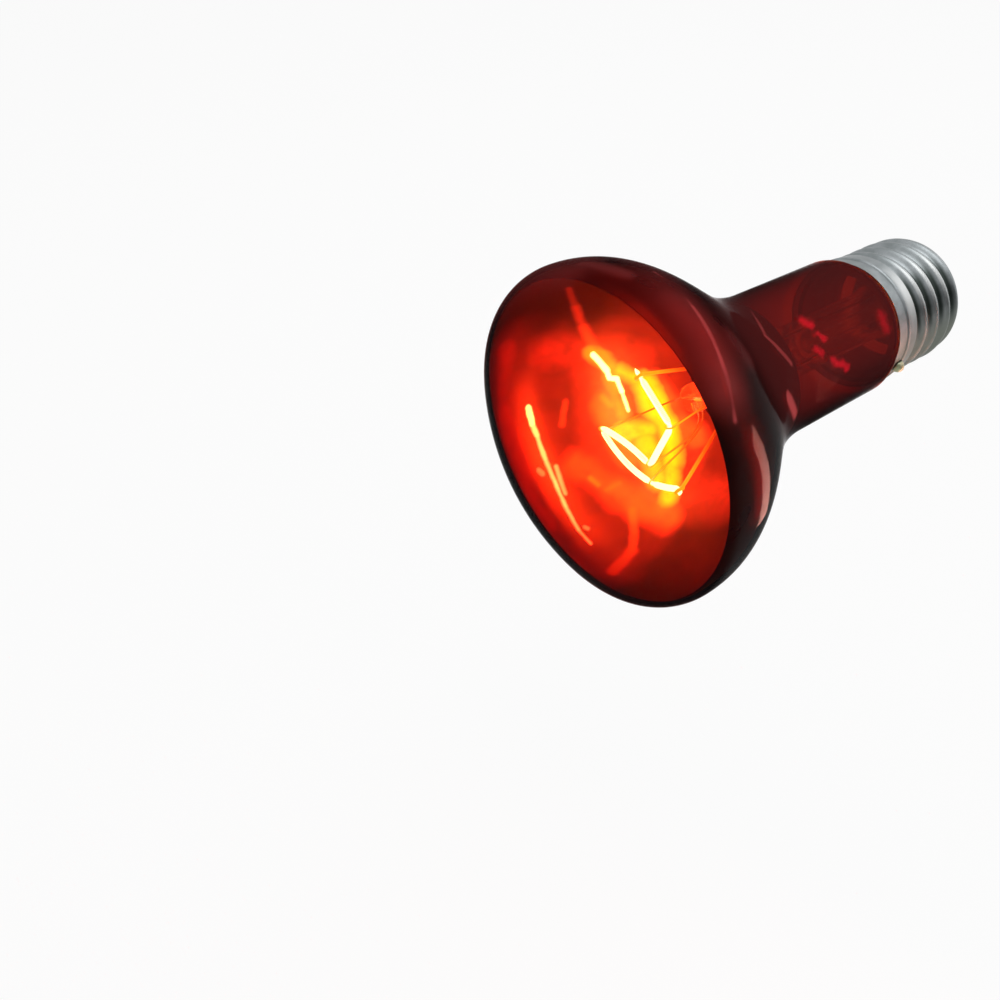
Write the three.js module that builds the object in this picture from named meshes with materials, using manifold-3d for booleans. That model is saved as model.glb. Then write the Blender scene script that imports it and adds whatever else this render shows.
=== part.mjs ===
import * as THREE from "three";
import { mergeVertices } from "three/addons/utils/BufferGeometryUtils.js";
import Module from "manifold-3d";

// Infrared reflector lamp: ruby glass bulb with a mirrored bowl, glass stem, coiled filament and E27 screw cap.
// Lengths are millimetres and angles are degrees. Heights run along the lamp's axis, from the flat tip of the
// end contact to the crown of the glass face. In the finished part that axis points along -Y and +Z is up.

// Clearances
const pieceGap = 0.3;
const cutOverrun = 2;

// Cap: end contact and its solder
const solderTipDiameter = 3.4;
const solderDomeDiameter = 6.4;
const solderDomeHeight = 0.9;
const solderStubDiameter = 2.4;
const solderStubRise = 0.6;
const contactDiameter = 9.6;
const contactThickness = 0.4;
const contactEdgeRound = 0.3;

// Cap: black glass insulator
const insulatorConeHeight = 3.7;
const insulatorFootDiameter = 11.4;
const insulatorShoulderDiameter = 22.8;
const insulatorPlugDiameter = 20;
const insulatorPlugHeight = 3.9;
const insulatorPlugWall = 1.4;
const funnelMouthHeight = 1.6;

// Cap: metal shell
const capHeight = 26;
const threadMeanDiameter = 25.2;
const skirtDiameter = 26.4;
const skirtHeight = 5.8;
const skirtStepHeight = 0.7;
const shellWall = 0.35;
const shellFootRound = 1.2;
const skirtBeadRadius = 0.5;
const skirtBeadDrop = 2.7;
const skirtBeadSink = 0.25;

// Cap: cement and side solder
const cementHeight = 3.6;
const cementDrop = 1.2;
const sideSolderWidth = 4.4;
const sideSolderHeight = 3.8;
const sideSolderDepth = 2.6;
const sideSolderDrop = 2.1;
const sideSolderSink = 0.2;
const sideSolderTurn = -14;

// Glass bulb
const bulbDiameter = 63.5;
const bulbWall = 0.8;
const neckDiameter = 28.6;
const waistDiameter = 29.1;
const shoulderDrop = 1.4;
const shoulderRise = 3.6;
const shoulderFootPull = 1.6;
const shoulderTopPull = 2.2;
const neckLength = 20;
const bowlHeight = 39.6;
const waistPull = 18.2;
const bowlPull = 15.9;
const cornerRadius = 8.2;
const faceHeight = 14.6;

// Mirror lining of the bowl
const mirrorThickness = 0.25;
const mirrorFootShare = 0.12;

// Glass stem
const stemFootHeight = 12.2;
const stemTubeDiameter = 10.4;
const stemWall = 1;
const flareHeight = 8;
const flareRimPull = 4.7;
const flareTubePull = 6.6;
const stemTubeLength = 15;
const pressBlend = 5;
const pressLength = 6.3;
const pressOverhang = 0.1;
const pressThickness = 3.6;
const pressTurn = 129.7;
const pressHollowRise = 2.4;
const pressHollowClearance = 0.4;
const exhaustPortDiameter = 2;

// Exhaust tube
const exhaustDiameter = 4;
const exhaustWall = 0.7;
const exhaustTipHeight = 11;
const exhaustTipTaper = 3;
const exhaustTipNoseDiameter = 1.4;

// Glass rod and button that carry the support wires
const arborDiameter = 3;
const arborLength = 17.6;
const buttonDiameter = 5.6;
const buttonHeight = 4;
const buttonRound = 1.2;

// Wires
const sealWireDiameter = 0.5;
const sealWireTailLength = 7.5;
const innerLeadDiameter = 0.8;
const innerLeadSeat = 3;
const innerLeadStraight = 11;
const outerLeadDiameter = 0.45;
const fuseWireDiameter = 0.25;
const fuseWireLength = 6;
const supportDiameter = 0.4;
const supportSeat = 1.7;
const supportReach = 2.2;
const supportRowStep = 0.7;

// Filament
const filamentWireDiameter = 0.22;
const filamentCoilDiameter = 1.5;
const filamentPitch = 1.1;
const filamentHeight = 81.75;
const filamentRadius = 11.6;
const filamentBend = 0.9;
const filamentTailLength = 1.6;
const coilRampLength = 2.6;
const leastSelfGap = 0.4;

// Hooks in their order along the filament, which lies flat at filamentHeight. Reach is a share of
// filamentRadius. Turn is the angle about the axis from +X towards +Z.
const hookShares = [
  { name: "inner_lead_upper", turn: 95.7, reachShare: 0.87 },
  { name: "filament_support_1", turn: 30.9, reachShare: 0.79 },
  { name: "filament_support_2", turn: -55.8, reachShare: 0.68 },
  { name: "filament_support_3", turn: -143.9, reachShare: 1.01 },
  { name: "filament_support_4", turn: -61, reachShare: 0.99 },
  { name: "inner_lead_lower", turn: -26.5, reachShare: 1.2 },
];

// How far each stretch bows away from the axis at its middle, as a share of its length, tails included
const bowShares = [0, 0, 0, -0.055, 0.095, 0.03, 0];

// Directions of the two free tails
const firstTailTurn = 149;
const lastTailTurn = -94;

// An eye goes most of the way round the filament and stays open
const hookSweep = 290;

// Facets
const bulbSegments = 44;
const bowlSteps = 10;
const domeSteps = 5;
const roundSteps = 4;
const mirrorSteps = 9;
const stemSegments = 24;
const trumpetSteps = 8;
const capSegments = 44;
const foldSteps = 2;
const smallSegments = 20;
const blobRings = 12;
const boreSides = 10;
const wireSides = 6;
const coilSides = 5;
const stepsPerCurl = 8;
const hookSteps = 12;
const legSteps = 6;

// Heights of the parts, from the contact's tip upwards
const contactFaceHeight = solderDomeHeight + pieceGap;
const insulatorFootHeight = contactFaceHeight + contactThickness + pieceGap;
const insulatorShoulderHeight = insulatorFootHeight + insulatorConeHeight;
const shellFootHeight = insulatorShoulderHeight + pieceGap;
const threadTopHeight = capHeight - skirtHeight;
const waistHeight = capHeight + shoulderRise + neckLength;
const widestHeight = waistHeight + bowlHeight;
const lampLength = widestHeight + faceHeight;
const flareRimTop = stemFootHeight + stemWall;
const neckEndHeight = flareRimTop + pieceGap;
const pressFootHeight = flareRimTop + flareHeight + stemTubeLength;
const pressTopHeight = pressFootHeight + pressBlend + pressLength;
const pressHollowHeight = pressFootHeight + pressHollowRise;
const leadSeatHeight = pressTopHeight - innerLeadSeat;
const buttonFootHeight = pressTopHeight + pieceGap + arborLength;
const sealFootHeight = pressFootHeight - sealWireTailLength;
const fuseTopHeight = sealFootHeight - pieceGap;
const fuseFootHeight = fuseTopHeight - fuseWireLength;
const sideLeadDrop = outerLeadDiameter + 2 * pieceGap;
const sideLeadLowHeight = stemFootHeight - sideLeadDrop;
const sideLeadEndHeight = capHeight - pieceGap;

// Radii and widths that follow from what lies inside what. The wires pass midway between the exhaust tube and
// the wall of the stem.
const skirtRadius = skirtDiameter / 2;
const threadRadius = threadMeanDiameter / 2;
const bulbRadius = bulbDiameter / 2;
const seatRadius = threadRadius - shellWall - outerLeadDiameter - 2 * pieceGap;
const plugRadius = insulatorPlugDiameter / 2;
const sideLeadRadius = seatRadius + pieceGap + outerLeadDiameter / 2;
const sealWireSpread = (exhaustDiameter + stemTubeDiameter - 2 * stemWall) / 2;
const pressWidth = stemTubeDiameter + 2 * pressOverhang;
const pressHollowDiameter = exhaustDiameter + 2 * pressHollowClearance;

const wasm = await Module();
wasm.setup();

const colours = {
  rubyGlass: { color: 0x7a0d0c, roughness: 0.06, metalness: 0 },
  mirror: { color: 0xd9d6d2, roughness: 0.15, metalness: 1 },
  clearGlass: { color: 0xcfd6d2, roughness: 0.08, metalness: 0 },
  tungsten: { color: 0xffc860, roughness: 0.5, metalness: 1 },
  nickel: { color: 0xa9a7a2, roughness: 0.35, metalness: 1 },
  copper: { color: 0xb0714e, roughness: 0.4, metalness: 1 },
  capMetal: { color: 0xb4b6b4, roughness: 0.38, metalness: 1 },
  blackGlass: { color: 0x17151a, roughness: 0.25, metalness: 0 },
  brass: { color: 0xb39a5c, roughness: 0.4, metalness: 1 },
  solder: { color: 0xb9bab0, roughness: 0.45, metalness: 1 },
  cement: { color: 0xb9a98c, roughness: 0.9, metalness: 0 },
};

const degrees = THREE.MathUtils.degToRad;

function point(radius, height) {
  return new THREE.Vector2(radius, height);
}

// A place on the lamp: distance from the axis, angle about it and height along it
function place(reach, turn, height) {
  const angle = degrees(turn);
  return new THREE.Vector3(reach * Math.cos(angle), height, -reach * Math.sin(angle));
}

// Vertices are merged and the flat triangles at the poles of a revolve are dropped
function weld(geometry) {
  geometry.deleteAttribute("normal");
  geometry.deleteAttribute("uv");
  const merged = mergeVertices(geometry);
  const kept = [];
  for (let i = 0; i < merged.index.count; i += 3) {
    const [a, b, c] = [merged.index.getX(i), merged.index.getX(i + 1), merged.index.getX(i + 2)];
    if (a !== b && b !== c && c !== a) kept.push(a, b, c);
  }
  merged.setIndex(kept);
  return merged;
}

function toSolid(geometry) {
  const welded = weld(geometry);
  return new wasm.Manifold(new wasm.Mesh({
    numProp: 3,
    vertProperties: new Float32Array(welded.attributes.position.array),
    triVerts: new Uint32Array(welded.index.array),
  }));
}

function toGeometry(solid) {
  const mesh = solid.getMesh();
  const geometry = new THREE.BufferGeometry();
  geometry.setAttribute("position", new THREE.BufferAttribute(mesh.vertProperties, 3));
  geometry.setIndex(new THREE.BufferAttribute(mesh.triVerts, 1));
  return geometry;
}

// A revolve about the lamp's axis. The outline runs either way round, and is turned to face outwards.
function revolve(outline, segments) {
  let area = 0;
  outline.forEach((p, i) => {
    const next = outline[(i + 1) % outline.length];
    area += p.x * next.y - next.x * p.y;
  });
  const points = area > 0 ? outline : [...outline].reverse();
  return new THREE.LatheGeometry(points, segments);
}

// The same for a ring, whose outline closes on itself away from the axis
function revolveRing(outline, segments) {
  return revolve([...outline, outline[0].clone()], segments);
}

// A curve of the outline as stations, each a point with the normal that faces away from the axis
function stations(curve, steps, first = 0) {
  const list = [];
  for (let i = first; i <= steps; i += 1) {
    const along = curve.getTangent(i / steps);
    list.push({ at: curve.getPoint(i / steps), normal: point(along.y, -along.x) });
  }
  return list;
}

function inset(list, depth) {
  return list.map(({ at, normal }) => point(Math.max(0, at.x - normal.x * depth), at.y - normal.y * depth));
}

// A run of points as a curve that steps from one to the next, whatever their spacing
class Route extends THREE.Curve {
  constructor(points) {
    super();
    this.points = points;
  }

  get steps() {
    return this.points.length - 1;
  }

  getPoint(share, target = new THREE.Vector3()) {
    const along = share * this.steps;
    const before = Math.min(Math.floor(along), this.steps - 1);
    return target.lerpVectors(this.points[before], this.points[before + 1], along - before);
  }

  getPointAt(share, target) {
    return this.getPoint(share, target);
  }

  getTangentAt(share, target = new THREE.Vector3()) {
    const here = Math.round(share * this.steps);
    const before = this.points[Math.max(0, here - 1)];
    const after = this.points[Math.min(this.steps, here + 1)];
    return target.subVectors(after, before).normalize();
  }
}

function roundSection(diameter, sides) {
  const corners = [];
  for (let i = 0; i < sides; i += 1) {
    const angle = (2 * Math.PI * i) / sides;
    corners.push(point(diameter / 2 * Math.cos(angle), diameter / 2 * Math.sin(angle)));
  }
  return new THREE.Shape(corners);
}

function sweep(points, diameter, sides = wireSides) {
  const route = new Route(points);
  return new THREE.ExtrudeGeometry(roundSection(diameter, sides), {
    steps: route.steps,
    extrudePath: route,
    bevelEnabled: false,
  });
}

function smoothRoute(corners, steps) {
  return new THREE.CatmullRomCurve3(corners, false, "centripetal").getSpacedPoints(steps);
}

// Outline of the blown bulb, from the end of its neck to the crown of the face
const bowlCurve = new THREE.CubicBezierCurve(
  point(waistDiameter / 2, waistHeight),
  point(waistDiameter / 2, waistHeight + waistPull),
  point(bulbRadius, widestHeight - bowlPull),
  point(bulbRadius, widestHeight),
);

function bulbStations() {
  const neckStart = point(seatRadius, neckEndHeight);
  const shoulderStart = point(seatRadius, capHeight - shoulderDrop);
  const shoulderEnd = point(neckDiameter / 2, capHeight + shoulderRise);
  const shoulder = new THREE.CubicBezierCurve(
    shoulderStart,
    point(seatRadius, shoulderStart.y + shoulderFootPull),
    point(neckDiameter / 2, shoulderEnd.y - shoulderTopPull),
    shoulderEnd,
  );
  const spread = bulbRadius - cornerRadius;
  const domeRadius = (faceHeight ** 2 + spread ** 2 - cornerRadius ** 2) / (2 * (faceHeight - cornerRadius));
  const domeCentre = lampLength - domeRadius;
  const meeting = Math.atan2(widestHeight - domeCentre, spread);
  const corner = new THREE.EllipseCurve(spread, widestHeight, cornerRadius, cornerRadius, 0, meeting);
  const dome = new THREE.EllipseCurve(0, domeCentre, domeRadius, domeRadius, meeting, Math.PI / 2);
  return [
    ...stations(new THREE.LineCurve(neckStart, shoulderStart), 1),
    ...stations(shoulder, roundSteps, 1),
    ...stations(bowlCurve, bowlSteps),
    ...stations(corner, roundSteps, 1),
    ...stations(dome, domeSteps, 1),
  ];
}

function glassBulb() {
  const outline = bulbStations();
  const outside = inset(outline, 0);
  const inside = inset(outline, bulbWall);
  return weld(revolve([...outside.reverse(), ...inside], bulbSegments));
}

function mirrorCoating() {
  const lining = [];
  for (let i = 0; i <= mirrorSteps; i += 1) {
    const share = mirrorFootShare + (1 - mirrorFootShare) * (i / mirrorSteps);
    const along = bowlCurve.getTangent(share);
    lining.push({ at: bowlCurve.getPoint(share), normal: point(along.y, -along.x) });
  }
  const back = inset(lining, bulbWall + pieceGap);
  const face = inset(lining, bulbWall + pieceGap + mirrorThickness);
  return weld(revolveRing([...back, ...face.reverse()], bulbSegments));
}

// Trumpet of the stem: its upper surface runs from the rim, level, to the tube, upright
const flareCurve = new THREE.CubicBezierCurve(
  point(seatRadius, flareRimTop),
  point(seatRadius - flareRimPull, flareRimTop),
  point(stemTubeDiameter / 2, flareRimTop + flareHeight - flareTubePull),
  point(stemTubeDiameter / 2, flareRimTop + flareHeight),
);

// The pinch that closes the stem: a round tube that blends into a flat block
function pressBlock() {
  const around = stemSegments;
  const rings = [];
  for (let i = 0; i <= roundSteps; i += 1) {
    rings.push({ height: pressFootHeight + pressBlend * (i / roundSteps), flat: i / roundSteps });
  }
  rings.push({ height: pressTopHeight, flat: 1 });
  const positions = [];
  for (const { height, flat } of rings) {
    const blend = flat * flat * (3 - 2 * flat);
    for (let k = 0; k < around; k += 1) {
      const angle = (2 * Math.PI * k) / around;
      const [c, s] = [Math.cos(angle), Math.sin(angle)];
      const round = stemTubeDiameter / 2;
      const wide = Math.sign(c) * Math.sqrt(Math.abs(c)) * pressWidth / 2;
      const thin = Math.sign(s) * Math.sqrt(Math.abs(s)) * pressThickness / 2;
      positions.push(THREE.MathUtils.lerp(round * c, wide, blend), height);
      positions.push(-THREE.MathUtils.lerp(round * s, thin, blend));
    }
  }
  const index = [];
  const footCentre = rings.length * around;
  const topCentre = footCentre + 1;
  positions.push(0, rings[0].height, 0, 0, pressTopHeight, 0);
  for (let k = 0; k < around; k += 1) {
    const next = (k + 1) % around;
    for (let r = 0; r < rings.length - 1; r += 1) {
      const [low, high] = [r * around, (r + 1) * around];
      index.push(low + k, low + next, high + next, low + k, high + next, high + k);
    }
    const top = (rings.length - 1) * around;
    index.push(footCentre, next, k, topCentre, top + k, top + next);
  }
  const geometry = new THREE.BufferGeometry();
  geometry.setAttribute("position", new THREE.Float32BufferAttribute(positions, 3));
  geometry.setIndex(index);
  geometry.rotateY(degrees(pressTurn));
  return geometry;
}

function bore(diameter, from, to) {
  return toSolid(sweep([from, to], diameter, boreSides));
}

function stem() {
  const trumpet = stations(flareCurve, trumpetSteps);
  const rim = point(seatRadius, stemFootHeight);
  const tubeEnd = point(stemTubeDiameter / 2, pressFootHeight);
  const outside = revolve(
    [point(0, stemFootHeight), rim, ...inset(trumpet, 0), tubeEnd, point(0, pressFootHeight)],
    stemSegments,
  );
  const hollow = revolve(
    [
      point(0, stemFootHeight - cutOverrun),
      point(trumpet[0].at.x, stemFootHeight - cutOverrun),
      ...inset(trumpet, stemWall),
      point(stemTubeDiameter / 2 - stemWall, pressFootHeight),
      point(pressHollowDiameter / 2, pressHollowHeight),
      point(0, pressHollowHeight),
    ],
    stemSegments,
  );
  let solid = toSolid(outside).add(toSolid(pressBlock())).subtract(toSolid(hollow));
  for (const turn of [pressTurn, pressTurn + 180]) {
    const seal = place(sealWireSpread / 2, turn, pressFootHeight);
    const seat = place(sealWireSpread / 2, turn, leadSeatHeight);
    const top = place(sealWireSpread / 2, turn, pressTopHeight + cutOverrun);
    solid = solid.subtract(bore(sealWireDiameter + 2 * pieceGap, seal, top));
    solid = solid.subtract(bore(innerLeadDiameter + 2 * pieceGap, seat, top));
  }
  const portHeight = pressHollowHeight - exhaustPortDiameter / 2;
  const portStart = place(0, pressTurn + 90, portHeight);
  const portEnd = place(stemTubeDiameter, pressTurn + 90, portHeight);
  solid = solid.subtract(bore(exhaustPortDiameter, portStart, portEnd));
  return toGeometry(solid);
}

function exhaustTube() {
  const outer = exhaustDiameter / 2;
  const inner = outer - exhaustWall;
  const nose = exhaustTipNoseDiameter / 2;
  const taperTop = exhaustTipHeight + exhaustTipTaper;
  const topHeight = pressHollowHeight - pieceGap - exhaustPortDiameter / 2;
  return weld(revolve(
    [
      point(0, exhaustTipHeight),
      point(nose, exhaustTipHeight + nose / 2),
      point(outer, taperTop),
      point(outer, topHeight),
      point(inner, topHeight),
      point(inner, taperTop + exhaustWall),
      point(0, exhaustTipHeight + 2 * exhaustWall),
    ],
    smallSegments,
  ));
}

// Support wires leave the button in two rows, so that the later ones pass below the earlier
function supportRoot(turn, order) {
  const middle = buttonFootHeight + buttonHeight / 2;
  const height = middle + (order < supportHooks.length / 2 ? supportRowStep : -supportRowStep);
  return {
    end: place(buttonDiameter / 2 - supportSeat, turn, height),
    exit: place(buttonDiameter / 2 + supportReach, turn, height),
  };
}

function arborRod() {
  const rod = arborDiameter / 2;
  const round = buttonRound;
  const outer = buttonDiameter / 2;
  const top = buttonFootHeight + buttonHeight;
  const lowEdge = new THREE.EllipseCurve(outer - round, buttonFootHeight + round, round, round, -Math.PI / 2, 0);
  const highEdge = new THREE.EllipseCurve(outer - round, top - round, round, round, 0, Math.PI / 2);
  const outline = [
    point(0, pressTopHeight + pieceGap),
    point(rod, pressTopHeight + pieceGap),
    point(rod, buttonFootHeight),
    ...lowEdge.getPoints(roundSteps),
    ...highEdge.getPoints(roundSteps),
    point(0, top),
  ];
  let solid = toSolid(revolve(outline, smallSegments));
  supportHooks.forEach(({ turn }, order) => {
    const { end, exit } = supportRoot(turn, order);
    const back = end.clone().lerp(exit, -pieceGap / end.distanceTo(exit));
    solid = solid.subtract(bore(supportDiameter + 2 * pieceGap, back, exit));
  });
  return toGeometry(solid);
}

// Corners of the filament's run: the first tail's end, the hooks in their order, and the last tail's end
function runCorners() {
  const hooks = hookShares.map(({ reachShare, turn }) => place(reachShare * filamentRadius, turn, filamentHeight));
  const first = hooks[0].clone().add(place(filamentTailLength, firstTailTurn, 0));
  const last = hooks[hooks.length - 1].clone().add(place(filamentTailLength, lastTailTurn, 0));
  return [first, ...hooks, last];
}

// The point that each stretch between two corners leans towards, which is its middle where it is straight
function stretchLeans(corners) {
  return corners.slice(1).map((corner, i) => {
    const lean = corners[i].clone().lerp(corner, 0.5);
    const outward = new THREE.Vector3(lean.x, 0, lean.z).normalize();
    return lean.addScaledVector(outward, 2 * bowShares[i] * corner.distanceTo(corners[i]));
  });
}

// Each corner is rounded by a curve that starts and ends at the bend's length from it
function cornerCurves(corners, leans) {
  return corners.slice(1, -1).map((corner, i) => {
    const back = leans[i].clone().sub(corner).normalize();
    const ahead = leans[i + 1].clone().sub(corner).normalize();
    const enter = corner.clone().addScaledVector(back, filamentBend);
    const leave = corner.clone().addScaledVector(ahead, filamentBend);
    return new THREE.QuadraticBezierCurve3(enter, corner, leave);
  });
}

// A wire that climbs from its root and closes round the filament in an open eye
function hookedWire(root, centre, along, diameter) {
  const eyeRadius = filamentWireDiameter / 2 + pieceGap + diameter / 2;
  const last = root[root.length - 1];
  const inward = last.clone().sub(centre);
  inward.addScaledVector(along, -inward.dot(along)).normalize();
  const sideways = along.clone().cross(inward);
  const eye = [];
  for (let i = 0; i <= hookSteps; i += 1) {
    const angle = Math.PI / 2 + degrees(hookSweep) * (i / hookSteps);
    eye.push(centre.clone()
      .addScaledVector(inward, eyeRadius * Math.cos(angle))
      .addScaledVector(sideways, eyeRadius * Math.sin(angle)));
  }
  const leg = smoothRoute([...root, eye[0]], legSteps);
  return weld(sweep([...leg.slice(0, -1), ...eye], diameter));
}

// The filament's centre line, as one curve of even travel
function filamentRun(corners, leans, curves) {
  const run = new THREE.CurvePath();
  let from = corners[0];
  leans.forEach((lean, i) => {
    const to = i < curves.length ? curves[i].v0 : corners[corners.length - 1];
    const straight = bowShares[i] === 0;
    run.add(straight ? new THREE.LineCurve3(from, to) : new THREE.QuadraticBezierCurve3(from, lean, to));
    if (i < curves.length) {
      run.add(curves[i]);
      from = curves[i].v2;
    }
  });
  return run;
}

const supportHooks = hookShares.filter(({ name }) => name.startsWith("filament_support"));
const filamentCorners = runCorners();
const filamentLeans = stretchLeans(filamentCorners);
const filamentCurves = cornerCurves(filamentCorners, filamentLeans);
const hookCentres = filamentCurves.map((curve) => curve.getPoint(0.5));
const hookAlong = filamentCurves.map((curve) => curve.getTangent(0.5));

function nearestHook(place3) {
  return Math.min(...filamentCorners.slice(1, -1).map((corner) => corner.distanceTo(place3)));
}

// The filament is one wire: coiled between the hooks, and drawn out straight where it passes through one
function filamentPoints() {
  const run = filamentRun(filamentCorners, filamentLeans, filamentCurves);
  const length = run.getLength();
  const curls = Math.round((length - 2 * filamentTailLength) / filamentPitch);
  const steps = Math.round((length / filamentPitch) * stepsPerCurl);
  const path = [];
  let across = new THREE.Vector3(0, 1, 0);
  for (let i = 0; i <= steps; i += 1) {
    const share = i / steps;
    const centre = run.getPointAt(share);
    const along = run.getTangentAt(share);
    across = across.clone().addScaledVector(along, -across.dot(along)).normalize();
    const sideways = along.clone().cross(across);
    const clear = Math.max(0, nearestHook(centre) - filamentBend);
    const travelled = share * length;
    const fromEnd = Math.min(travelled, length - travelled) - filamentTailLength;
    const ramp = THREE.MathUtils.smoothstep(Math.min(clear, fromEnd), 0, coilRampLength);
    const radius = (ramp * (filamentCoilDiameter - filamentWireDiameter)) / 2;
    const angle = (2 * Math.PI * i) / stepsPerCurl;
    path.push(centre.clone()
      .addScaledVector(across, radius * Math.cos(angle))
      .addScaledVector(sideways, radius * Math.sin(angle)));
  }
  return { path, curls };
}

// Least gap between two stretches of the wire that are more than half a curl apart along it
function selfGap(path) {
  let least = Infinity;
  for (let i = 0; i < path.length; i += 1) {
    let travelled = 0;
    for (let j = i + 1; j < path.length; j += 1) {
      travelled += path[j].distanceTo(path[j - 1]);
      const apart = path[i].distanceTo(path[j]);
      if (travelled > 2 * filamentPitch && j - i >= stepsPerCurl / 2) least = Math.min(least, apart);
    }
  }
  return least - filamentWireDiameter;
}

function filament() {
  const { path, curls } = filamentPoints();
  const gap = selfGap(path);
  console.log(`filament: ${curls} curls, least gap to itself ${gap.toFixed(2)} mm, wanted over ${leastSelfGap} mm`);
  return weld(sweep(path, filamentWireDiameter, coilSides));
}

function innerLead(hookIndex, turn) {
  const foot = place(sealWireSpread / 2, turn, leadSeatHeight);
  const knee = place(sealWireSpread / 2, turn, leadSeatHeight + innerLeadStraight);
  return hookedWire([foot, knee], hookCentres[hookIndex], hookAlong[hookIndex], innerLeadDiameter);
}

function sealWire(turn) {
  const top = place(sealWireSpread / 2, turn, leadSeatHeight - pieceGap);
  const foot = place(sealWireSpread / 2, turn, pressFootHeight - sealWireTailLength);
  return weld(sweep([foot, top], sealWireDiameter));
}

function fuseWire() {
  const foot = place(sealWireSpread / 2, pressTurn + 180, fuseFootHeight);
  const top = place(sealWireSpread / 2, pressTurn + 180, fuseTopHeight);
  return weld(sweep([foot, top], fuseWireDiameter));
}

function centreLead() {
  const stubTop = insulatorFootHeight + solderStubRise + pieceGap;
  const corners = [
    place(sealWireSpread / 2, pressTurn + 180, fuseFootHeight - pieceGap),
    place(sealWireSpread / 2, pressTurn + 180, exhaustTipHeight + exhaustTipTaper),
    place(0, pressTurn + 180, exhaustTipHeight - exhaustDiameter),
    place(0, pressTurn + 180, stubTop),
  ];
  return weld(sweep(smoothRoute(corners, legSteps * 2), outerLeadDiameter));
}

// The lead leaves the stem, passes under the neck's end and climbs between the neck and the shell
function sideLead() {
  const inside = sealWireSpread / 2;
  const lower = smoothRoute(
    [
      place(inside, pressTurn, sealFootHeight - pieceGap),
      place(inside, pressTurn, stemFootHeight + flareHeight / 2),
      place(inside, pressTurn, stemFootHeight),
      place((inside + sideLeadRadius) / 2, (pressTurn + sideSolderTurn) / 2, sideLeadLowHeight),
      place(sideLeadRadius - sideLeadDrop, sideSolderTurn, sideLeadLowHeight),
      place(sideLeadRadius, sideSolderTurn, sideLeadLowHeight + sideLeadDrop),
    ],
    legSteps * 3,
  );
  return weld(sweep([...lower, place(sideLeadRadius, sideSolderTurn, sideLeadEndHeight)], outerLeadDiameter));
}

// Cap pieces

function contactSolder() {
  const [tip, dome, stub] = [solderTipDiameter / 2, solderDomeDiameter / 2, solderStubDiameter / 2];
  const bulge = new THREE.QuadraticBezierCurve(point(tip, 0), point(dome, 0), point(dome, solderDomeHeight));
  return weld(revolve(
    [
      point(0, 0),
      ...bulge.getPoints(roundSteps),
      point(stub, solderDomeHeight),
      point(stub, insulatorFootHeight + solderStubRise),
      point(0, insulatorFootHeight + solderStubRise),
    ],
    smallSegments,
  ));
}

function endContact() {
  const hole = solderStubDiameter / 2 + pieceGap;
  const rim = contactDiameter / 2;
  return weld(revolveRing(
    [
      point(hole, contactFaceHeight),
      point(rim - contactEdgeRound, contactFaceHeight),
      point(rim, contactFaceHeight + contactEdgeRound),
      point(rim, contactFaceHeight + contactThickness),
      point(hole, contactFaceHeight + contactThickness),
    ],
    smallSegments,
  ));
}

function insulator() {
  const hole = solderStubDiameter / 2 + pieceGap;
  const plugTop = insulatorShoulderHeight + insulatorPlugHeight;
  return weld(revolveRing(
    [
      point(hole, insulatorFootHeight),
      point(insulatorFootDiameter / 2, insulatorFootHeight),
      point(insulatorShoulderDiameter / 2, insulatorShoulderHeight - pieceGap),
      point(insulatorShoulderDiameter / 2, insulatorShoulderHeight),
      point(plugRadius, insulatorShoulderHeight),
      point(plugRadius, plugTop),
      point(plugRadius - insulatorPlugWall, plugTop),
      point(hole, insulatorFootHeight + funnelMouthHeight),
    ],
    capSegments,
  ));
}

// The shell: its turned-in foot, a run for the thread, a step out to the skirt and a bead below the rim
function shellStations() {
  const lip = plugRadius + pieceGap;
  const footArc = new THREE.EllipseCurve(
    threadRadius - shellFootRound,
    shellFootHeight + shellFootRound,
    shellFootRound,
    shellFootRound,
    -Math.PI / 2,
    0,
  );
  const stepFoot = point(threadRadius, threadTopHeight);
  const stepTop = point(skirtRadius, threadTopHeight + skirtStepHeight);
  const step = new THREE.CubicBezierCurve(
    stepFoot,
    point(threadRadius, threadTopHeight + skirtStepHeight / 2),
    point(skirtRadius, threadTopHeight + skirtStepHeight / 2),
    stepTop,
  );
  const beadHeight = capHeight - skirtBeadDrop;
  const reach = Math.acos(skirtBeadSink / skirtBeadRadius);
  const bead = new THREE.EllipseCurve(
    skirtRadius - skirtBeadSink,
    beadHeight,
    skirtBeadRadius,
    skirtBeadRadius,
    -reach,
    reach,
  );
  const beadPoints = stations(bead, roundSteps).map(({ at }) => ({ at, normal: point(1, 0) }));
  return [
    { at: point(lip, shellFootHeight), normal: point(0, -1) },
    ...stations(footArc, foldSteps),
    ...stations(step, foldSteps),
    ...beadPoints,
    { at: point(skirtRadius, capHeight), normal: point(1, 0) },
  ];
}

function capShell() {
  const outline = shellStations();
  const outside = inset(outline, 0);
  const inside = inset(outline, shellWall);
  return weld(revolveRing([...outside, ...inside.reverse()], capSegments));
}

function cement() {
  const outer = skirtRadius - shellWall - pieceGap;
  const inner = seatRadius + pieceGap;
  const top = capHeight - cementDrop;
  const foot = Math.max(top - cementHeight, threadTopHeight + skirtStepHeight);
  const ring = revolveRing(
    [point(inner, foot), point(outer, foot), point(outer, top), point(inner, top)],
    capSegments,
  );
  const slot = bore(
    outerLeadDiameter + 2 * pieceGap,
    place(sideLeadRadius, sideSolderTurn, foot - cutOverrun),
    place(sideLeadRadius, sideSolderTurn, top + cutOverrun),
  );
  return toGeometry(toSolid(ring).subtract(slot));
}

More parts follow.
